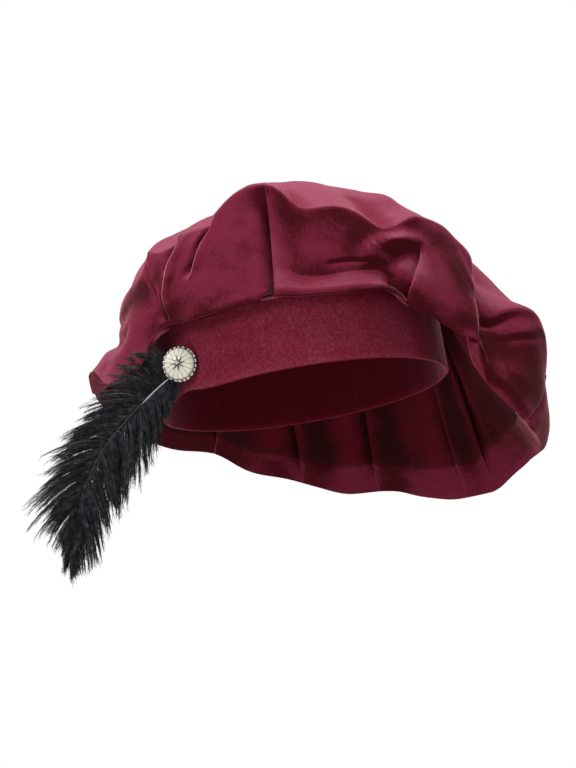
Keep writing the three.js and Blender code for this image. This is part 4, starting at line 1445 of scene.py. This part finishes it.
@dataclass
class Brooch:
    """The round brooch: a silver plate with a beaded rim, a fluted pearly dome, and a star with a crystal."""

    centre: tuple[float, float, float] = (-69.6, -76.2, 18.2)
    azimuth: float = -14.0
    radius: float = 11.0
    plate: float = 1.6
    fit: float = 0.3
    beads: int = 22
    bead_radius: float = 0.95
    plate_steps: int = 88
    dome_radius: float = 9.3
    dome_height: float = 2.6
    flutes: int = 16
    flute_depth: float = 0.3
    star_points: int = 8
    star_radius: float = 5.2
    star_waist: float = 1.45
    star_height: float = 0.9
    star_edge: float = 0.35
    gem_radius: float = 1.3
    gem_flatness: float = 0.7
    grains: int = 8
    grain_radius: float = 0.42
    grain_ring: float = 2.3
    seed: int = 5

    def pose(self) -> Matrix:
        """Gives the brooch's place: its back at z = 0, facing +Z, in metres.

        Returns:
            The matrix from the brooch's own millimetres to the hat.
        """
        turn = Matrix.Rotation(math.radians(self.azimuth), 4, "Z") @ Matrix.Rotation(math.pi / 2, 4, "X")
        return Matrix.Translation(Vector(self.centre) * MM) @ turn @ Matrix.Scale(MM, 4)

    def finish(
        self, name: str, bm: bmesh.types.BMesh, material: bpy.types.Material, rounded: bool = True
    ) -> bpy.types.Object:
        """Moves a mesh from the brooch's own frame to the hat and makes it a piece.

        Args:
            name: The piece's name.
            bm: The mesh, in the brooch's millimetres.
            material: Its finish.
            rounded: Whether its faces are shaded smooth.

        Returns:
            The piece.
        """
        bmesh.ops.recalc_face_normals(bm, faces=bm.faces[:])
        bmesh.ops.transform(bm, matrix=self.pose(), verts=bm.verts[:])
        return finished(name, bm, material, rounded)

    @staticmethod
    def turned(
        bm: bmesh.types.BMesh, profile: Sequence[tuple[float, float]], steps: int
    ) -> list[bmesh.types.BMVert]:
        """Spins a profile of radius and height round the brooch's axis.

        Args:
            bm: The mesh that it is added to.
            profile: Points from the axis, round the section and back to the axis or the start.
            steps: How many steps the turn has.

        Returns:
            The new vertices.
        """
        before = set(bm.verts)
        verts = [bm.verts.new((r, 0, z)) for r, z in profile]
        edges = [bm.edges.new(pair) for pair in zip(verts, verts[1:])]
        bmesh.ops.spin(
            bm,
            geom=verts + edges,
            cent=(0, 0, 0),
            axis=(0, 0, 1),
            angle=2 * math.pi,
            steps=steps,
            use_merge=True,
        )
        made = [v for v in bm.verts if v not in before]
        bmesh.ops.remove_doubles(bm, verts=made, dist=1e-4)
        return [v for v in bm.verts if v not in before]

    def base(self, silver: Metal) -> bpy.types.Object:
        """Makes the plate with its ring of beads and the thin polished ring inside them.

        Args:
            silver: Its finish.

        Returns:
            The piece.
        """
        dice = random.Random(self.seed)
        bm = bmesh.new()
        hollow = bm.verts.layers.float.new("hollow")
        rim = self.radius - self.bead_radius
        profile = [(0, 0), (rim - 0.6, 0), (rim + 0.1, 0.25), (rim + 0.25, 0.7), (rim - 0.2, 1.1), (0, 1.1)]
        for vert in self.turned(bm, profile, self.plate_steps):
            vert[hollow] = 0.9
        for k in range(self.beads):
            angle = 2 * math.pi * (k + dice.uniform(-0.12, 0.12)) / self.beads
            size = self.bead_radius * dice.uniform(0.9, 1.08)
            spot = Matrix.Rotation(angle, 4, "Z") @ Matrix.Translation((rim, 0, 0.85))
            shape = Matrix.Diagonal((size * 0.9, size * 1.45, size * 0.95, 1))
            bead = bmesh.ops.create_uvsphere(bm, u_segments=14, v_segments=9, radius=1.0, matrix=spot @ shape)
            for vert in bead["verts"]:
                vert[hollow] = 0.8 * float(smooth(0.75 - vert.co.z, 0.0, 0.7))
        ring = [(8.4, 0.9), (8.9, 1.35), (9.2, 1.55), (9.5, 1.35), (9.6, 0.9), (8.4, 0.9)]
        for vert in self.turned(bm, ring, self.plate_steps):
            vert[hollow] = 0.35
        piece = self.finish("brooch_plate", bm, silver.material())
        place(piece, "silver", "brooch_base")
        return piece

    def dome(self, pearl: Pearl) -> bpy.types.Object:
        """Makes the fluted dome.

        Args:
            pearl: Its finish.

        Returns:
            The piece.
        """
        bottom = self.plate + self.fit
        edge = bottom + 0.25
        arc = [math.radians(a) for a in range(0, 91, 6)]
        profile = [(0, bottom), (self.dome_radius - 0.3, bottom)]
        profile += [(self.dome_radius * math.cos(a), edge + self.dome_height * math.sin(a)) for a in arc[:-1]]
        profile += [(0, edge + self.dome_height)]
        bm = bmesh.new()
        hollow = bm.verts.layers.float.new("hollow")
        for vert in self.turned(bm, profile, 12 * self.flutes):
            radius = math.hypot(vert.co.x, vert.co.y)
            wave = abs(math.cos(0.5 * self.flutes * math.atan2(vert.co.y, vert.co.x)))
            strength = float(smooth(radius, 3.2, 5.5))
            if vert.co.z > bottom + 0.1:
                vert.co.z -= self.flute_depth * (1 - wave) * strength
            # painted shade in the flutes and towards the dome's edge
            flute, rim = float(smooth(1 - wave, 0.2, 1.0)), float(smooth(radius, 8.2, self.dome_radius))
            vert[hollow] = strength * (0.55 * flute + 0.25 * rim)
        piece = self.finish("brooch_pearl", bm, pearl.material())
        place(piece, "pearl", "brooch_dome")
        return piece

    def star(self, silver: Metal) -> bpy.types.Object:
        """Makes the star, whose points are little ridges that fall to their tips, and its ring of grains.

        Args:
            silver: Its finish.

        Returns:
            The piece.
        """
        back = self.plate + self.dome_height + 2 * self.fit
        bm = bmesh.new()
        hollow = bm.verts.layers.float.new("hollow")
        corners = 2 * self.star_points
        disc = bmesh.ops.create_circle(bm, cap_ends=True, segments=corners, radius=self.star_radius)
        for vert in disc["verts"]:
            corner = round(math.atan2(vert.co.y, vert.co.x) / (math.pi / self.star_points))
            if corner % 2:
                vert.co *= self.star_waist / self.star_radius
        raised = bmesh.ops.extrude_face_region(bm, geom=bm.faces[:])
        lifted = [g for g in raised["geom"] if isinstance(g, bmesh.types.BMVert)]
        for vert in lifted:
            vert.co.z += self.star_edge
        top = [g for g in raised["geom"] if isinstance(g, bmesh.types.BMFace)]
        poked = bmesh.ops.poke(bm, faces=top)
        for vert in poked["verts"]:
            vert.co.z += self.star_height - self.star_edge
        for k in range(self.grains):
            turn = Matrix.Rotation(math.tau * k / self.grains, 4, "Z")
            spot = turn @ Matrix.Translation((self.grain_ring, 0, 0.75))
            bmesh.ops.create_icosphere(bm, subdivisions=2, radius=self.grain_radius, matrix=spot)
        bmesh.ops.translate(bm, vec=(0, 0, back + 0.25), verts=bm.verts[:])
        for vert in bm.verts:
            vert[hollow] = 0.3 + 0.5 * float(smooth(back + 1.1 - vert.co.z, 0, 0.6))
        piece = self.finish("brooch_star_cut", bm, silver.material(), rounded=False)
        place(piece, "silver", "brooch_star")
        return piece

    def gem(self, crystal: Crystal) -> bpy.types.Object:
        """Makes the crystal in the middle of the star.

        Args:
            crystal: Its finish.

        Returns:
            The piece.
        """
        height = self.plate + self.dome_height + self.star_height + 3 * self.fit
        bm = bmesh.new()
        bmesh.ops.create_icosphere(bm, subdivisions=1, radius=self.gem_radius)
        bmesh.ops.scale(bm, vec=(1, 1, self.gem_flatness), verts=bm.verts[:])
        bmesh.ops.translate(bm, vec=(0, 0, height + self.gem_flatness * self.gem_radius), verts=bm.verts[:])
        piece = self.finish("brooch_crystal", bm, crystal.material(), rounded=False)
        place(piece, "crystal", "brooch_gem")
        return piece

    def build(self, silver: Metal, pearl: Pearl, crystal: Crystal, steel: Metal) -> None:
        """Makes the brooch and dresses the post behind it.

        Args:
            silver: Finish of the plate and the star.
            pearl: Finish of the dome.
            crystal: Finish of the stone.
            steel: Finish of the post.
        """
        self.base(silver)
        self.dome(pearl)
        self.star(silver)
        self.gem(crystal)
        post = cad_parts["brooch_post"]
        post.data.materials.clear()
        post.data.materials.append(steel.material())


@dataclass
class Plume:
    """The ostrich plume: a quill whose soft barbs sweep out to the wearer's right and hang on the left. Each
    clump of barbs follows a guide, with one thicker lock along it, and every barb is fringed with wisps."""

    root_radius: float = 0.55
    tip_radius: float = 0.3
    quill_steps: int = 90
    quill_sides: int = 12
    clumps: int = 150
    barbs_per_clump: int = 8
    barb_points: int = 11
    # how far the barbs stand off the quill, in degrees, on each vane, and how much more at the root
    right_opening: float = 56.0
    right_root_opening: float = 56.0
    left_opening: float = 62.0
    left_root_opening: float = 30.0
    clump_spread: float = 1.5
    core_radius: float = 0.72
    barb_radius: float = 0.21
    wisps_per_barb: int = 11
    wisp_length: float = 4.0
    wisp_radius: float = 0.1
    seed: int = 11

    def stations(self) -> tuple[np.ndarray, np.ndarray]:
        """Measures how far along the quill its points lie.

        Returns:
            Its points and reaches in millimetres, and their places from 0 to 1.
        """
        rows = np.array(PLUME, float)
        steps = np.linalg.norm(np.diff(rows[:, :3], axis=0), axis=1)
        return rows, np.concatenate([[0], np.cumsum(steps)]) / steps.sum()

    def at(self, t: np.ndarray) -> tuple[np.ndarray, ...]:
        """Gives the quill's frame.

        Args:
            t: Places along the quill from 0 to 1.

        Returns:
            Points, directions along the quill, across it to the wearer's left, out of the hat, and reaches.
        """
        rows, places = self.stations()
        values = smooth_curve(rows, places, t)
        along = smooth_curve(rows, places, t, ahead=0.01)[:, :3] - values[:, :3]
        along /= np.linalg.norm(along, axis=1, keepdims=True)
        across = np.cross(np.array([0, -1.0, 0]), along)
        across /= np.linalg.norm(across, axis=1, keepdims=True)
        out = np.cross(along, across)
        return values[:, :3], along, across, out, values[:, 3:]

    @staticmethod
    def strands(
        name: str, paths: np.ndarray, radii: np.ndarray, material: bpy.types.Material
    ) -> bpy.types.Object:
        """Joins many thin closed strands with three sides into one mesh.

        Args:
            name: The piece's name.
            paths: Strands by points by 3, in millimetres.
            radii: Strands by points.
            material: Their finish.

        Returns:
            The piece.
        """
        count, points = paths.shape[:2]
        along = np.gradient(paths, axis=1)
        along /= np.maximum(np.linalg.norm(along, axis=-1, keepdims=True), 1e-9)
        side = np.cross(along, np.array([0.31, -0.9, 0.3]))
        side /= np.maximum(np.linalg.norm(side, axis=-1, keepdims=True), 1e-9)
        up = np.cross(along, side)
        angles = np.arange(3) * math.tau / 3
        ring = side[:, :, None] * np.cos(angles)[:, None] + up[:, :, None] * np.sin(angles)[:, None]
        verts = (paths[:, :, None] + ring * radii[:, :, None, None]).reshape(-1, 3) * MM
        number = np.arange(count * points * 3).reshape(count, points, 3)
        lower, upper = number[:, :-1], number[:, 1:]
        walls = np.stack([lower, np.roll(lower, -1, 2), np.roll(upper, -1, 2), upper], -1).reshape(-1, 4)
        feet = number[:, 0, ::-1]
        tips = number[:, -1]
        mesh = bpy.data.meshes.new(name)
        mesh.from_pydata(verts.tolist(), [], walls.tolist() + feet.tolist() + tips.tolist())
        return dressed(name, mesh, material)

    def quill(self, horn: Horn) -> bpy.types.Object:
        """Makes the tapered quill.

        Args:
            horn: Its finish.

        Returns:
            The piece.
        """
        t = np.linspace(0, 1, self.quill_steps + 1)
        point, _, across, out, _ = self.at(t)
        bm = bmesh.new()
        along = bm.verts.layers.float.new("along")
        bmesh.ops.create_grid(bm, x_segments=self.quill_sides, y_segments=self.quill_steps, size=1.0)
        for vert in bm.verts:
            angle = math.tau * (vert.co.x + 1) / 2
            j = round((vert.co.y + 1) / 2 * self.quill_steps)
            radius = self.root_radius + (self.tip_radius - self.root_radius) * t[j]
            vert.co = (point[j] + radius * (across[j] * math.cos(angle) + out[j] * math.sin(angle))) * MM
            vert[along] = t[j]
        bmesh.ops.remove_doubles(bm, verts=bm.verts[:], dist=0.01 * MM)
        bmesh.ops.holes_fill(bm, edges=[e for e in bm.edges if e.is_boundary], sides=0)
        bmesh.ops.recalc_face_normals(bm, faces=bm.faces[:])
        piece = finished("plume_quill", bm, horn.material())
        place(piece, "quill", "quill")
        return piece

    def barb(self, t: float, side: Side, dice: random.Random) -> np.ndarray:
        """Draws the guide of one clump of barbs.

        Args:
            t: Where it leaves the quill.
            side: The vane.
            dice: Seeded random numbers.

        Returns:
            Its points in millimetres.
        """
        point, along, across, out, reach = (x[0] for x in self.at(np.array([t])))
        root = float(1 - smooth(t, 0.0, 0.3))
        if side is Side.RIGHT:
            opening = self.right_opening + self.right_root_opening * root
            opening += dice.uniform(-8, 8) * (1 + 2 * root)
            width = reach[0]
        else:
            opening = self.left_opening + self.left_root_opening * root + dice.uniform(-10, 8)
            width = reach[1]
        opening = math.radians(opening * (1 - 0.8 * float(smooth(t, 0.55, 1.0))))
        lean = math.radians(dice.gauss(-10 + 20 * root, 14 - 6 * root))
        length = width / max(0.5, math.sin(opening * 0.72)) * dice.uniform(0.72, 1.08)
        steps = self.barb_points - 1
        here = point.copy()
        path = [here.copy()]
        for k in range(steps):
            u = (k + 0.5) / steps
            angle = opening * (1 - 0.5 * u)
            flat = along * math.cos(angle) + side.value * across * math.sin(angle)
            heading = flat * math.cos(lean) + out * math.sin(lean)
            weight = 1.0 if side is Side.LEFT else 0.3
            heading = heading + np.array([0, 0, -1.0]) * (0.1 + 0.5 * u) * weight
            heading /= np.linalg.norm(heading)
            here = here + heading * length / steps
            path.append(here.copy())
        return np.array(path)

    def build(self, horn: Horn, barbs: Barbs) -> None:
        """Makes the quill, the barbs in clumps and the wisps along them.

        Args:
            horn: Finish of the quill.
            barbs: Finish of the barbs.
        """
        self.quill(horn)
        dice = random.Random(self.seed)
        rng = np.random.default_rng(self.seed)
        u = np.linspace(0, 1, self.barb_points)
        material = barbs.material()
        cores = []
        for side in Side:
            paths = []
            for k in range(self.clumps):
                t = min(1.0, max(0.02, (k + dice.random()) / self.clumps))
                guide = self.barb(t, side, dice)
                cores.append(guide)
                for _ in range(self.barbs_per_clump):
                    spread = rng.normal(0, [self.clump_spread] * 3)
                    own = self.at(np.array([min(1.0, max(0.0, t + dice.gauss(0, 0.012)))]))[0][0]
                    apart = np.sqrt(u) * (1 - 0.82 * u)
                    shift = (own - guide[0]) * (1 - u)[:, None] + spread * apart[:, None]
                    phase = dice.uniform(0, math.tau)
                    waves = 0.35 * u * np.sin(phase + u * dice.uniform(5, 9))
                    wiggle = waves[:, None] * rng.normal(0, 1, 3)
                    stretch = dice.uniform(0.75, 1.08)
                    paths.append(guide[0] + (guide - guide[0]) * stretch + shift + wiggle)
            paths = np.array(paths)
            taper = self.barb_radius * (1 - 0.6 * u)[None, :] * rng.uniform(0.75, 1.25, (len(paths), 1))
            vane = self.strands(f"plume_barbs_{side.name.lower()}", paths, taper, material)
            place(vane, "feather", "plume")
            wisps, wisp_radii = self.wisps(paths, rng)
            down = self.strands(f"plume_wisps_{side.name.lower()}", wisps, wisp_radii, material)
            place(down, "feather", "plume")
        cores = np.array(cores)
        thick = self.core_radius * np.sqrt(u + 0.08) * (1 - u) ** 0.8 * 1.6 + 0.06
        locks = self.strands("plume_locks", cores, np.broadcast_to(thick, cores.shape[:2]), material)
        place(locks, "feather", "plume")

    def wisps(self, paths: np.ndarray, rng: np.random.Generator) -> tuple[np.ndarray, np.ndarray]:
        """Grows the fine wisps that fringe each barb.

        Args:
            paths: The barbs.
            rng: Seeded random numbers.

        Returns:
            The wisps' points and radii.
        """
        count = len(paths) * self.wisps_per_barb
        barb = np.repeat(np.arange(len(paths)), self.wisps_per_barb)
        place_on = rng.uniform(0.12, 0.98, count) * (self.barb_points - 1)
        i = np.minimum(place_on.astype(int), self.barb_points - 2)
        f = (place_on - i)[:, None]
        start = paths[barb, i] * (1 - f) + paths[barb, i + 1] * f
        along = paths[barb, i + 1] - paths[barb, i]
        along /= np.maximum(np.linalg.norm(along, axis=1, keepdims=True), 1e-9)
        side = np.cross(along, rng.normal(0, 1, (count, 3)))
        side /= np.maximum(np.linalg.norm(side, axis=1, keepdims=True), 1e-9)
        length = self.wisp_length * rng.uniform(0.5, 1.2, (count, 1))
        middle = start + (0.85 * along + 0.42 * side) * 0.5 * length
        end = middle + (0.95 * along + 0.2 * side + np.array([0, 0, -0.2])) * 0.5 * length
        points = np.stack([start, middle, end], 1)
        radii = self.wisp_radius * np.array([1.0, 0.8, 0.3])[None, :] * np.ones((count, 1))
        return points, radii


class Lamp(NamedTuple):
    """A soft square lamp: its name, where it hangs, what it points at, its side in metres and its watts."""

    name: str
    place: tuple[float, float, float]
    target: tuple[float, float, float]
    side: float
    power: float


LAMPS = [
    Lamp("key", (0.12, -0.3, 1.3), (0, 0, 0.05), 0.8, 24),
    Lamp("fill", (-0.9, -1.3, 0.5), (0, 0, 0), 0.6, 9),
]


@dataclass
class Studio:
    """A pale floor far below the hat, soft light from above and the camera at the photograph's angle.

    Sizes are in metres, angles in degrees and the focal length in millimetres.
    """

    floor_height: float = -0.36
    floor_size: float = 6.0
    elevation: float = -10.397
    roll: float = -9.647
    distance: float = 1.5
    shift_right: float = -0.01003
    shift_up: float = 0.00778
    focal_length: float = 113.094
    sky_light: float = 0.3

    def floor(self, finish: Plaster) -> None:
        """Lays the floor.

        Args:
            finish: Its plaster.
        """
        bm = bmesh.new()
        bmesh.ops.create_grid(bm, x_segments=1, y_segments=1, size=self.floor_size / 2)
        bmesh.ops.translate(bm, vec=(0, 0, self.floor_height), verts=bm.verts[:])
        finished("studio_floor", bm, finish.material())

    def sky(self) -> None:
        """Surrounds the hat with even light: white to look at, softer as light."""
        world = bpy.data.worlds.new("studio_sky")
        bpy.context.scene.world = world
        world.use_nodes = True
        tree = world.node_tree
        seen = add_node(tree, "ShaderNodeLightPath").outputs["Is Camera Ray"]
        strength = add_node(
            tree, "ShaderNodeMapRange", {"Value": seen, "To Min": self.sky_light, "To Max": 1.0}
        )
        background = tree.nodes["Background"]
        background.inputs["Color"].default_value = linear("#ffffff")
        tree.links.new(strength.outputs[0], background.inputs["Strength"])

    @staticmethod
    def hang(lamp: Lamp) -> None:
        """Hangs a lamp.

        Args:
            lamp: Its row.
        """
        light = bpy.data.lights.new(lamp.name, "AREA")
        light.size = lamp.side
        light.energy = lamp.power
        hung = bpy.data.objects.new(lamp.name, light)
        hung.location = lamp.place
        hung.rotation_mode = "QUATERNION"
        hung.rotation_quaternion = (Vector(lamp.target) - Vector(lamp.place)).to_track_quat("-Z", "Y")
        bpy.context.scene.collection.objects.link(hung)

    def camera(self) -> None:
        """Sets the camera below the hat's level, looking up at it, rolled as in the photograph."""
        e, r = math.radians(self.elevation), math.radians(self.roll)
        back = Vector((0, -math.cos(e), math.sin(e)))
        level = Vector((1, 0, 0))
        rise = back.cross(level)
        right = level * math.cos(r) + rise * math.sin(r)
        up = rise * math.cos(r) - level * math.sin(r)
        eye = right * self.shift_right + up * self.shift_up + back * self.distance
        lens = bpy.data.cameras.new("camera")
        lens.lens = self.focal_length
        lens.clip_end = 100.0
        camera = bpy.data.objects.new("camera", lens)
        rotation = Matrix((right, up, back)).transposed().to_4x4()
        camera.matrix_world = Matrix.Translation(eye) @ rotation
        bpy.context.scene.collection.objects.link(camera)
        bpy.context.scene.camera = camera

    def build(self, finish: Plaster) -> None:
        """Sets up the studio.

        Args:
            finish: The floor's plaster.
        """
        self.floor(finish)
        self.sky()
        for lamp in LAMPS:
            self.hang(lamp)
        self.camera()
        bpy.context.scene.view_settings.view_transform = "Standard"


def main() -> None:
    """Builds the hat and the studio."""
    logging.basicConfig(level=logging.INFO, format="%(name)s %(message)s")
    outside = Velvet(
        "burgundy_velvet",
        deep="#42000f",
        body="#701b34",
        bloom="#863c51",
        sheen_tint="#ff9fb4",
        sheen=0.5,
    )
    # the underside's velvet: a darker copy of the outside's, with painted shade
    underside = Velvet(
        "burgundy_velvet_in_shade",
        deep="#2a0006",
        body="#540416",
        bloom="#702038",
        sheen_tint="#ff7a9e",
        sheen=0.06,
    )
    laid = Velvet(
        "burgundy_velvet_laid_flat",
        deep="#420010",
        body="#6c0a24",
        bloom="#9a4760",
        sheen_tint="#ff9fbb",
        laid=0.5,
    )
    silver = Metal("cast_silver", bright="#d9d6cf", dark="#3c3833")
    band = Headband()
    band.build(laid)
    Crown(band).build(outside, underside)
    Brooch().build(
        silver,
        Pearl("moulded_pearl", cream="#f3eee0", shade="#a9a898"),
        Crystal("cut_glass", tint="#e8ecef"),
        Metal("steel_wire", bright="#b8b8b6", dark="#5a5856", roughness=0.35),
    )
    Plume().build(
        Horn("quill_horn", bare="#cfd3d8", dyed="#17181c"),
        Barbs("dyed_barbs", black="#0e0e13", painted_glint="#43464f"),
    )
    Studio().build(Plaster("pale_plaster", colour="#e9e6e1"))


if __name__ == "__main__":
    main()
